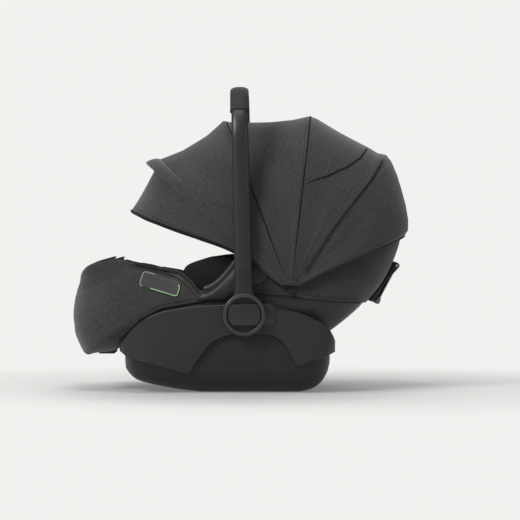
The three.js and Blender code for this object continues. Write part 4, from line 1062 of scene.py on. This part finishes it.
def seat_bucket():
    rays = spread(FOOT_RAY, HEAD_RAY, 110)
    outer = [both_sides(a, bucket_half(a, 0.0, 0, 32)) for a in rays]
    inner = [both_sides(a, bucket_half(a, -SEAT_SHELL, 0, 32)) for a in rays]
    shell = cloth_sheet("seat_moulded_shell", outer, inner, SIDE_PLASTIC, "dark_plastic")
    bevel(shell, 1.0, angle=55, segments=2)
    finish_piece(shell, SIDE_PLASTIC, "seat", ("seat_shell",))
    rays = spread(208, 355, 90)
    liner = cloth_sheet("foam_core", [both_sides(a, bucket_half(a, -5.2, 3, 28)) for a in rays],
                        [both_sides(a, sitting_half(a, 11.5, 16.4, 3, 28)) for a in rays], FOAM, "foam", body="seat",
                        replaces=("foam_liner",))

    foot = cover("leg_rest_cover", "foot_cover", spread(FOOT_ROLL_RAY, 246, 150), FOOT_REGION, 1.3, 0.55,
                 smooth(FOOT_LIP))
    sewn(foot)
    back = cover("seat_back_cover", "back_cover", spread(234, HEAD_RAY, 116), BACK_REGION, 7.7, 0.45)
    sewn(back)

    for word, side in SIDES.items():
        for hem, part in ((FOOT_HEM, "leg_rest"), (BACK_HEM, "seat_back")):
            line = hem_path(hem, COVER_CLEAR + COVER - 1.0, side)
            tube(f"{part}_hem_piping_{word}", resample(line, 120), 1.9, PIPING, "black_cloth", body="seat")
            inset = [(x, z + 7) for x, z in hem]
            line = hem_path(inset[2:] if part == "leg_rest" else inset[1:], COVER_CLEAR + COVER - 0.1, side)
            stitches(f"{part}_hem_stitching_{word}", line, "seat")
        for k, (drop, r) in enumerate(((2.0, 2.0), (11.0, 1.3))):
            line = []
            for a in spread(201, 238 - 2 * k, 60):
                half = bucket_half(a, COVER_CLEAR + COVER - 0.6, 0, 60)
                d = half[0][1] + drop
                line.append(on_ray(a, d, side * float(np.interp(d, [p[1] for p in half], [p[0] for p in half]))))
            tube(f"leg_rest_edge_piping_{word}_{k}", line, r, PIPING, "black_cloth", body="seat")
        line = [on_ray(a, rim_reach(a) + 1.0, side * (half_width(a) + 3.6)) for a in spread(240, 360, 90)]
        tube(f"seat_back_rim_piping_{word}", line, 2.2, PIPING, "black_cloth", body="seat")
        roll = [on_ray(a, rim_reach(a) - 8.6, side * (half_width(a) - 2.4)) for a in spread(238.6, 350, 120)]
        tube(f"rim_cushion_roll_{word}", roll, 5.6, ROLL_LEATHER, "leatherette", sides=18, body="seat",
             replaces=(f"rim_roll_{word}",))
        stitches(f"rim_roll_stitching_{word}", [on_ray(a, rim_reach(a) - 7.0, side * (half_width(a) + 3.1))
                                                for a in spread(252, 348, 90)], "seat")
        side_cushion_and_shade(word, side)
        patch_on_cover(word, side)

    edge = [on_ray(FOOT_ROLL_RAY + 0.25, d - 0.6, y - 1.2) for y, d in lip_half(FOOT_ROLL_RAY, 0.0)]
    edge = [(x, -y, z) for x, y, z in edge] + list(reversed(edge[:-1]))
    tube("leg_rest_front_piping", edge, 1.7, PIPING, "black_cloth", body="seat")

    def pad_seams(x, y, z):
        a = math.degrees(math.atan2(z - SEAT_CENTRE[1], x)) % 360
        across = max(hump(a, k, 0.8) for k in (226, 247, 292, 318, 338))
        return max(across if abs(y) < 120 else 0.0, hump(abs(y), 78, 3.0) if 226 < a < 338 else 0.0)

    puffed("seat_pad", "seat_cushion", MELANGE_SOLID, "seat", 6.0, 4.0, 2.4, pad_seams, tuck=True)

    def insert_seams(x, y, z):
        a = math.degrees(math.atan2(z - SEAT_CENTRE[1], x)) % 360
        return max(hump(a, k, 0.9) for k in (257, 276, 293))

    puffed("insert_cushion", "newborn_insert", BLACK_KNIT, "seat", 4.5, 4.0, 2.5, insert_seams)
    for word, side in SIDES.items():
        rings = []
        for i in range(61):
            x = -121 + 247 * (1 - math.cos(math.pi * i / 60)) / 2
            high, low = BOLSTER_TOP(x), BOLSTER_BOTTOM(x)
            seam = 1 - 0.10 * hump(x, -18, 2.4) - 0.08 * hump(x, 52, 2.4)
            thick = 30 * math.sqrt(math.sin(math.pi * (i + 2.4) / 64.8)) * seam
            middle = side * (128 - 8 * ease(50, 126, x))
            ring = []
            for u, v in oval(thick, (high - low) * (0.5 + 0.5 * seam), 36, 0.9):
                soft = 1 + 0.035 * fold_noise(x, u * 2, v, 26, 2.2)
                ring.append((x, middle + u * soft, (high + low) / 2 + v * soft))
            rings.append(ring)
        wing = loft(f"side_wing_cushion_{word}", rings, BLACK_KNIT, "black_cloth", body="seat",
                    replaces=(f"side_bolster_{word}",))


# ------------------------------------------------------------------ harness, head rest and releases
def harness():
    strap = rounded_bar(34, 2.2, 0.9)
    shoulder = [(174, 163, 1), (158, 186, 1), (140, 198, 0.95), (105, 190, 0.8), (58, 176, 0.4), (22, 186, 0),
                (8, 183, 0), (4, 172, 0)]
    for word, side in SIDES.items():
        line = [(x, side * (25 + 15 * s), z) for x, z, s in shoulder]
        sweep(f"shoulder_belt_{word}", catmull(line, 90), strap, WEBBING, "webbing", body="seat",
              replaces=(f"shoulder_strap_{word}",))
        puffed(f"shoulder_pad_{word}", f"shoulder_cushion_{word}", BLACK_KNIT, "seat", 3.0, 3.0, 1.4,
               lambda x, y, z: hump(x, 62, 1.8) + hump(x, 118, 1.8))
        refined(f"tongue_{word}", f"buckle_tongue_{word}", BLACK_PLASTIC, "seat", edge=0.8)
    line = [(-70, 0, 138), (-70, 0, 154), (-73, 0, 164), (-69, 0, 169), (-61, 0, 170.7)]
    sweep("crotch_belt", catmull(line, 50), strap, WEBBING, "webbing", body="seat", replaces=("crotch_strap",))
    line = [(-196, 0, 224), (-212, 0, 234), (-228, 0, 243), (-238, 0, 252)]
    sweep("adjuster_belt", catmull(line, 40), rounded_bar(26, 2.2, 0.9), WEBBING, "webbing", body="seat",
          replaces=("adjuster_strap",))
    refined("buckle_housing", "buckle_case", BLACK_PLASTIC, "seat", edge=2.2)
    refined("buckle_button", "buckle_red_button", RED_PLASTIC, "buckle_press", edge=1.2)
    refined("adjuster_housing", "adjuster_case", BLACK_PLASTIC, "seat", edge=1.8)
    refined("adjuster_button", "adjuster_key", GREY_PLASTIC, "adjuster_press", edge=1.0)

    refined("headrest_shell", "headrest_moulding", BLACK_PLASTIC, "headrest", edge=0.9)
    puffed("headrest_pad", "headrest_cushion", MELANGE_SOLID, "headrest", 4.5, 4.0, 2.4,
           lambda x, y, z: hump(abs(y), 46, 2.5))
    refined("headrest_grip", "headrest_pull", BLACK_PLASTIC, "headrest", edge=1.6)

    low, high = (260.0, 170.0), (299.0, 243.0)
    run = math.dist(low, high)
    along = ((high[0] - low[0]) / run, (high[1] - low[1]) / run)

    def at(u, v):
        return (low[0] + u * along[0] + v * along[1], low[1] + u * along[1] - v * along[0])

    plates = []
    for offset in (8.0, 5.0):
        plates.append([[on_ray(a, bucket_reach(a) + offset, y) for y in spread(-62, 62, 24)]
                       for a in spread(327.5, 344.6, 40)])
    plate = cloth_sheet("release_back_plate", *plates, BLACK_PLASTIC, "dark_plastic")
    bevel(plate, 0.9, angle=50)
    finish_piece(plate, BLACK_PLASTIC, "seat", ("release_bracket",))
    for word, side in SIDES.items():
        cheek = rounded_outline([at(-4, -16), at(run - 10, -19), at(run + 5, -12), at(run + 6, 1), at(run + 2, 5),
                                 at(run - 6, 4), at(run * 0.5, -5), at(-2, -7)], 6)
        slab(f"release_cheek_{word}", cheek, *sorted((side * 58, side * 62)), BLACK_PLASTIC, "dark_plastic",
             edge=1.0, body="seat")
    refined("release_handle", "release_pull", GREY_PLASTIC, "release_lever", edge=1.2)
    refined("recline_mount", "recline_case", BLACK_PLASTIC, "seat", edge=1.6)
    refined("recline_lever", "recline_paddle_key", GREY_PLASTIC, "recline_paddle", edge=1.6)


# ------------------------------------------------------------------ canopy
def canopy_reach(angle):
    """The distance from the pivot to the canopy's outline along a ray."""
    t = math.radians(angle)
    c, n = math.cos(t), math.sin(t)
    best = None
    for (ax, az), (bx, bz) in zip(CANOPY_EDGE, CANOPY_EDGE[1:]):
        ax, az, bx, bz = ax - PIVOT[0], az - PIVOT[1], bx - PIVOT[0], bz - PIVOT[1]
        side_a, side_b = ax * n - az * c, bx * n - bz * c
        if side_a * side_b <= 0 and side_a != side_b:
            k = side_a / (side_a - side_b)
            best = (ax + (bx - ax) * k) * c + (az + (bz - az) * k) * n
            if best > 0:
                return best
    ends = [CANOPY_EDGE[0], CANOPY_EDGE[-1]]
    return math.dist(ends[0] if angle > 90 else ends[1], PIVOT)


FRONT_EDGE = smooth([(26, 149.5), (44, 145.5), (88, 143.2), (136, 145.2), (200, 149.6), (254, 152.0), (310, 153.3)])
REAR_EDGE = smooth([(24, 34), (44, 31.0), (90, 28.4), (130, 27.0), (190, 25.8), (240, 25.5)])


def canopy_point(angle, share, inset, edge_pull=True):
    """A point on the cloth: angle about the pivot, share 0..1 from the left side over the top to the right."""
    reach = canopy_reach(angle) - inset
    start = math.asin((CANOPY_FOOT / reach) ** (CANOPY_SQUARENESS / 2))
    a = start + share * (math.pi - 2 * start)
    power = 2 / CANOPY_SQUARENESS
    out = reach * math.sin(a) ** power
    y = -(CANOPY_HALF_WIDTH - inset) * math.copysign(abs(math.cos(a)) ** power, math.cos(a))
    if edge_pull and angle > BOW["front"]:
        angle = BOW["front"] + (angle - BOW["front"]) * (FRONT_EDGE(out) - BOW["front"]) / (FRONT_HEM - BOW["front"])
    if edge_pull and angle < BOW["rear"]:
        low = REAR_EDGE(out)
        angle = BOW["rear"] - (BOW["rear"] - angle) * (BOW["rear"] - low) / (BOW["rear"] - HOOD_EDGE)
    t = math.radians(angle)
    return (PIVOT[0] + out * math.cos(t), y, PIVOT[1] + out * math.sin(t))


def cloth_slack(angle, share, from_angle, to_angle):
    """How far the cloth hangs inside its ideal surface: nothing at the bows, radial folds between."""
    t = (angle - from_angle) / (to_angle - from_angle)
    between = math.sin(math.pi * min(max(t, 0), 1)) ** 0.8
    side = math.cos(math.pi * share) ** 2
    folds = 0.5 + 0.5 * fold_noise(angle * 2.4, share * 30, 0, 14, from_angle)
    ripples = 0.5 + 0.5 * fold_noise(angle * 2.2, share * 90, 0, 40, from_angle + 9)
    return between * (1.0 + 3.2 * side * folds + 1.4 * ripples)


def canopy_panel(name, node, start, end):
    steps = max(int((end - start) / 0.75), 14)
    outer, inner = [], []
    for angle in spread(start, end, steps):
        row_out, row_in = [], []
        for share in spread(0, 1, 96):
            slack = cloth_slack(angle, share, start, end)
            row_out.append(canopy_point(angle, share, slack))
            row_in.append(canopy_point(angle, share, slack + CLOTH))
        outer.append(row_out)
        inner.append(row_in)
    obj = cloth_sheet(name, outer, inner, MELANGE, "melange_cloth")
    obj.data.materials.append(LINING)
    grid_faces = 2 * (len(outer) - 1) * (len(outer[0]) - 1)
    for poly in obj.data.polygons:
        if poly.index < grid_faces and poly.index % 2 == 1:
            poly.material_index = 1
        poly.use_smooth = True
    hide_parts(node)
    sharp_by_angle(obj, 60)
    return obj


def near_ends(t, span=0.06, least=0.35):
    """Trims on the bows thin out towards the pivot, so that they lie together when the canopy folds."""
    return least + (1 - least) * ease(0.0, span, min(t, 1 - t))


def bend_between(obj):
    """Bakes obj's placement into its points; nothing turns them with a body."""
    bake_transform(obj)


RIB_DROP = 3.8


def canopy():
    hood = canopy_panel("canopy_rear_cloth", "canopy_hood_panel", HOOD_EDGE, BOW["rear"])
    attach(hood, "seat")
    sewn(hood)
    spans = (("canopy_middle_cloth", "canopy_middle_panel", "rear", "middle", "seat", "canopy_middle", 0.17),
             ("canopy_front_cloth", "canopy_front_panel", "middle", "front", "canopy_middle", "canopy_front", 0.17),
             ("canopy_visor_cloth", "canopy_visor_panel", "front", "visor", "canopy_front", "canopy_visor", 0.10))
    for name, node, low, high, a, b, deep in spans:
        end = FRONT_HEM if high == "visor" else BOW[high]
        obj = canopy_panel(name, node, BOW[low], end)
        bend_between(obj)
        sewn(obj)

    bodies = {"rear": "seat", "middle": "canopy_middle", "front": "canopy_front", "visor": "canopy_visor"}
    for word, angle in BOW.items():
        at = angle if word != "visor" else VISOR_RIB
        line = [canopy_point(at, s, RIB_DROP) for s in spread(0.010, 0.990, 120)]
        rib = tube(f"canopy_bow_rib_{word}", line, lambda t: 2.0 * near_ends(t), BLACK_PLASTIC, "dark_plastic",
                   sides=10, body=None if word == "visor" else bodies[word], replaces=(f"canopy_bow_{word}",), taper=False)
        if word == "visor":
            ride_cloth(rib, 150)
        if word == "front":
            line = [canopy_point(angle, s, 0.6) for s in spread(0.002, 0.998, 150)]
            tube("canopy_fold_ridge", line, lambda t: 1.9 * near_ends(t), MELANGE_SOLID, "melange_cloth",
                 sides=10, body=bodies[word])
        elif word != "visor":
            line = [canopy_point(angle, s, 0.4) for s in spread(0.0012, 0.9988, 170)]
            tube(f"canopy_seam_cord_{word}", line, lambda t: 1.3 * near_ends(t), SEAM, "black_cloth",
                 sides=8, body=bodies[word])
            for k, away in enumerate((-1.2, 1.2)):
                line = [canopy_point(angle + away, s, 0.55) for s in spread(0.09, 0.91, 260)]
                stitch = stitches(f"canopy_stitching_{word}_{k}", line, None)
                ride_cloth(stitch, angle + away)
    edge = [canopy_point(FRONT_HEM, s, 1.2) for s in spread(0.0, 1.0, 160)]
    binding = sweep("canopy_front_binding", edge, rounded_bar(7.0, 4.0, 1.6), BLACK_TRIM, "black_cloth",
                    up=(0.4, 0, -1), scale=lambda t: (near_ends(t, 0.1), near_ends(t, 0.1)))
    ride_cloth(binding, 150)
    line = [canopy_point(FRONT_HEM - 1.7, s, 0.9) for s in spread(0.09, 0.91, 260)]
    ride_cloth(stitches("canopy_front_stitching_0", line, None), 151.0)
    hem = [canopy_point(HOOD_EDGE, s, 1.2) for s in spread(0.0, 1.0, 160)]
    tube("canopy_rear_piping", hem, 2.6, PIPING, "black_cloth", sides=10, body="seat")
    line = [canopy_point(HOOD_EDGE + 2.0, s, 0.7) for s in spread(0.08, 0.92, 260)]
    stitches("canopy_rear_stitching", line, "seat")

    grids = []
    for profile in (FLAP_TOP, FLAP_UNDER):
        grids.append([[canopy_point(a, s, 0.8 - (rise + 0.8) * min(ease(0.16, 0.36, s), 1 - ease(0.64, 0.84, s)), False)
                       for s in spread(0.16, 0.84, 90)] for a, rise in resample(profile, 12)])
    tip_out, tip_in = grids
    flap = cloth_sheet("canopy_pull_flap", tip_out, tip_in, MELANGE, "melange_cloth", body="canopy_front")
    sewn(flap)

    for word, side in SIDES.items():
        for k, points in enumerate((SEAM_C, SEAM_D)):
            line = []
            for angle, out in resample(points, 60):
                line.append(canopy_side(angle, out, 0.9, side))
            tube(f"canopy_side_seam_{word}_{k}", line, 0.8, SEAM, "black_cloth", sides=6, body="seat")
            stitches(f"canopy_side_stitching_{word}_{k}", [(x, y, z - 3.2) for x, y, z in line], "seat")
        line = [canopy_side(a, o, 0.9, side) for a, o in resample(FOLD_LINE, 70)]
        fold = tube(f"canopy_fold_line_{word}", line, 0.9, MELANGE_SOLID, "melange_cloth", sides=6)
        ride_cloth(fold, 128)
        gusset = [(PIVOT[0] + CORNER_OUT * math.cos(math.radians(a)), PIVOT[1] + CORNER_OUT * math.sin(math.radians(a)))
                  for a in range(28, 153, 5)]
        slab(f"canopy_corner_{word}", rounded_outline(gusset, 3), *sorted((side * 192.8, side * 195.7)), MELANGE_SOLID,
             "melange_cloth", edge=0.9, body="seat")
        pin = [(0.02, 179.5), (4.2, 179.5), (4.2, 190.4), (5.6, 190.4), (6, 190.8), (6, 191.6), (5.6, 192), (0.02, 192)]
        stud = lathe(f"canopy_pivot_stud_{word}", pin, side, BLACK_PLASTIC, "dark_plastic", 48, PIVOT, body="seat",
                     replaces=(f"canopy_mount_{word}",))
        sharp_by_angle(stud, 40)


def canopy_side(angle, out, inset, side):
    """A point on the canopy's side at a distance out from the pivot in side view."""
    power = CANOPY_SQUARENESS / 2
    reach = canopy_reach(angle) - inset
    a = math.asin(min((min(out, reach) / reach) ** power, 1.0))
    y = (CANOPY_HALF_WIDTH - inset) * max(math.cos(a), 0.0) ** (1 / power)
    t = math.radians(angle)
    return (PIVOT[0] + out * math.cos(t), side * y, PIVOT[1] + out * math.sin(t))


SEAM_C = [(82.5, 206), (72.0, 233), (65.5, 262.5), (62.2, 291.7), (61.6, 318)]
SEAM_D = [(52, 44), (55.8, 136), (53.9, 265), (54.8, 314)]
CORNER_OUT = 24.0
FLAP_TOP = [(134.4, -0.6), (135.0, 6.0), (135.9, 12.5), (137.0, 18.0), (138.1, 22.5)]
FLAP_UNDER = [(135.6, -2.0), (136.5, 2.5), (137.2, 8.0), (137.9, 13.5), (138.5, 19.5)]
FOLD_LINE = [(137.5, 60), (137.7, 160), (137.9, 250), (138.0, 330)]


def ride_cloth(obj, angle):
    """A trim piece on the cloth: below the rear bow it rides on the seat, elsewhere its placement is only baked in."""
    if angle < BOW["rear"]:
        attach(obj, "seat")
    elif angle < BOW["middle"]:
        bend_between(obj)
    elif angle < BOW["front"]:
        bend_between(obj)
    else:
        bend_between(obj)


# ------------------------------------------------------------------ what is left of the CAD, and the room
def dress_hidden_nodes():
    finish = {"latch_bar_front": STEEL, "latch_bar_rear": STEEL, "release_pin": STEEL}
    for word in SIDES:
        finish[f"handle_pivot_{word}"] = BLACK_PLASTIC
        finish[f"handle_button_spring_{word}"] = STEEL
        finish[f"recline_stub_{word}"] = BLACK_PLASTIC
    for node, material in finish.items():
        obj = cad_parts[node]
        obj.data.materials.clear()
        obj.data.materials.append(material)


def room():
    scene = bpy.context.scene
    scene.view_settings.view_transform = "Standard"
    pale = (0.887, 0.879, 0.863)
    world = bpy.data.worlds.new("studio")
    scene.world = world
    world.use_nodes = True
    tree = world.node_tree
    ground = tree.nodes["Background"]
    ground.inputs["Color"].default_value = (*pale, 1)
    where = tree.nodes.new("ShaderNodeTexCoord")
    towards = tree.nodes.new("ShaderNodeVectorMath")
    towards.operation = "DOT_PRODUCT"
    towards.inputs[1].default_value = (0, 1, 0)
    patch = tree.nodes.new("ShaderNodeMapRange")
    patch.interpolation_type = "SMOOTHSTEP"
    for key, value in (("From Min", math.cos(math.radians(17))), ("From Max", math.cos(math.radians(11))),
                       ("To Min", WORLD_LIGHT), ("To Max", 1.0)):
        patch.inputs[key].default_value = value
    tree.links.new(where.outputs["Generated"], towards.inputs[0])
    tree.links.new(towards.outputs["Value"], patch.inputs["Value"])
    tree.links.new(patch.outputs["Result"], ground.inputs["Strength"])

    n, radius = 96, 2400.0
    verts = [(0, 0, 0)] + [(radius * math.cos(2 * math.pi * i / n), radius * math.sin(2 * math.pi * i / n), 0)
                           for i in range(n)]
    faces = [[0, 1 + i, 1 + (i + 1) % n] for i in range(n)]
    m = Maker("studio_floor")
    at = m.node("ShaderNodeTexCoord")
    away = m.node("ShaderNodeVectorMath", operation="LENGTH")
    m.join(at.outputs["Object"], away.inputs[0])
    fade = m.node("ShaderNodeMapRange")
    m.join(away.outputs["Value"], fade.inputs["Value"])
    fade.interpolation_type = "SMOOTHSTEP"
    fade.inputs["From Min"].default_value, fade.inputs["From Max"].default_value = 0.35, 1.1
    m.set(Roughness=0.95, Specular_IOR_Level=0.0, Emission_Strength=FLOOR_GLOW)
    # Painted contact shadow: the floor's colour and glow are darkened in an oval round the seat's footprint.
    oval_map = m.node("ShaderNodeMapping")
    oval_map.inputs["Location"].default_value = (0.07, 0.16, 0)
    oval_map.inputs["Scale"].default_value = (1 / 0.44, 1 / 0.62, 1)
    m.join(at.outputs["Object"], oval_map.inputs["Vector"])
    near = m.node("ShaderNodeVectorMath", operation="LENGTH")
    m.join(oval_map.outputs["Vector"], near.inputs[0])
    painted_floor_shadow = m.ramp(m.math("MULTIPLY", near.outputs["Value"], 0.7),
                  [(0.22, tint(pale, 0.66)), (0.42, tint(pale, 0.80)), (0.60, tint(pale, 0.95)), (0.80, pale)])
    shade = m.node("ShaderNodeMix", data_type="RGBA", blend_type="MULTIPLY")
    shade.inputs["Factor"].default_value = 1.0
    m.join(painted_floor_shadow, shade.inputs["A"])
    shade.inputs["B"].default_value = (FLOOR_TONE, FLOOR_TONE, FLOOR_TONE, 1)
    m.join(shade.outputs["Result"], m.shader.inputs["Base Color"])
    m.join(painted_floor_shadow, m.shader.inputs["Emission Color"])
    glow = m.node("ShaderNodeEmission", Strength=1.0)
    glow.inputs["Color"].default_value = (*pale, 1)
    mix = m.node("ShaderNodeMixShader")
    m.join(fade.outputs["Result"], mix.inputs["Fac"])
    m.join(m.shader.outputs["BSDF"], mix.inputs[1])
    m.join(glow.outputs["Emission"], mix.inputs[2])
    out = next(k for k in m.nodes if k.type == "OUTPUT_MATERIAL")
    m.join(mix.outputs["Shader"], out.inputs["Surface"])
    mesh = bpy.data.meshes.new("studio_floor")
    mesh.from_pydata([(x * MM, y * MM, z * MM - 0.0002) for x, y, z in verts], [], faces)
    floor = bpy.data.objects.new("studio_floor", mesh)
    scene.collection.objects.link(floor)
    mesh.materials.append(m.material)

    for name, place, aim, size, power in (("key_softbox", (-1.7, -2.1, 1.9), (0, 0, 0.25), 1.0, 60),
                                          ("top_softbox", (-0.2, -0.5, 2.4), (0, 0, 0.2), 1.0, 20),
                                          ("back_softbox", (0.0, 2.3, 1.5), (0, 0, 0.1), 1.6, 16),
                                          ("side_softbox", (2.2, -2.2, 1.2), (0, 0, 0.3), 0.7, 5)):
        data = bpy.data.lights.new(name, "AREA")
        data.shape, data.size, data.energy = "SQUARE", size, power
        lamp = bpy.data.objects.new(name, data)
        scene.collection.objects.link(lamp)
        lamp.location = place
        lamp.rotation_euler = (Vector(aim) - Vector(place)).to_track_quat("-Z", "Y").to_euler()

    data = bpy.data.cameras.new("photo_camera")
    data.lens, data.sensor_width = 162.8, 36
    camera = bpy.data.objects.new("photo_camera", data)
    scene.collection.objects.link(camera)
    camera.location = (0.0301, -4.68, 0.2543)
    camera.rotation_euler = (math.pi / 2, 0, 0)
    scene.camera = camera


carrier()
handle()
seat_bucket()
harness()
canopy()
dress_hidden_nodes()
room()
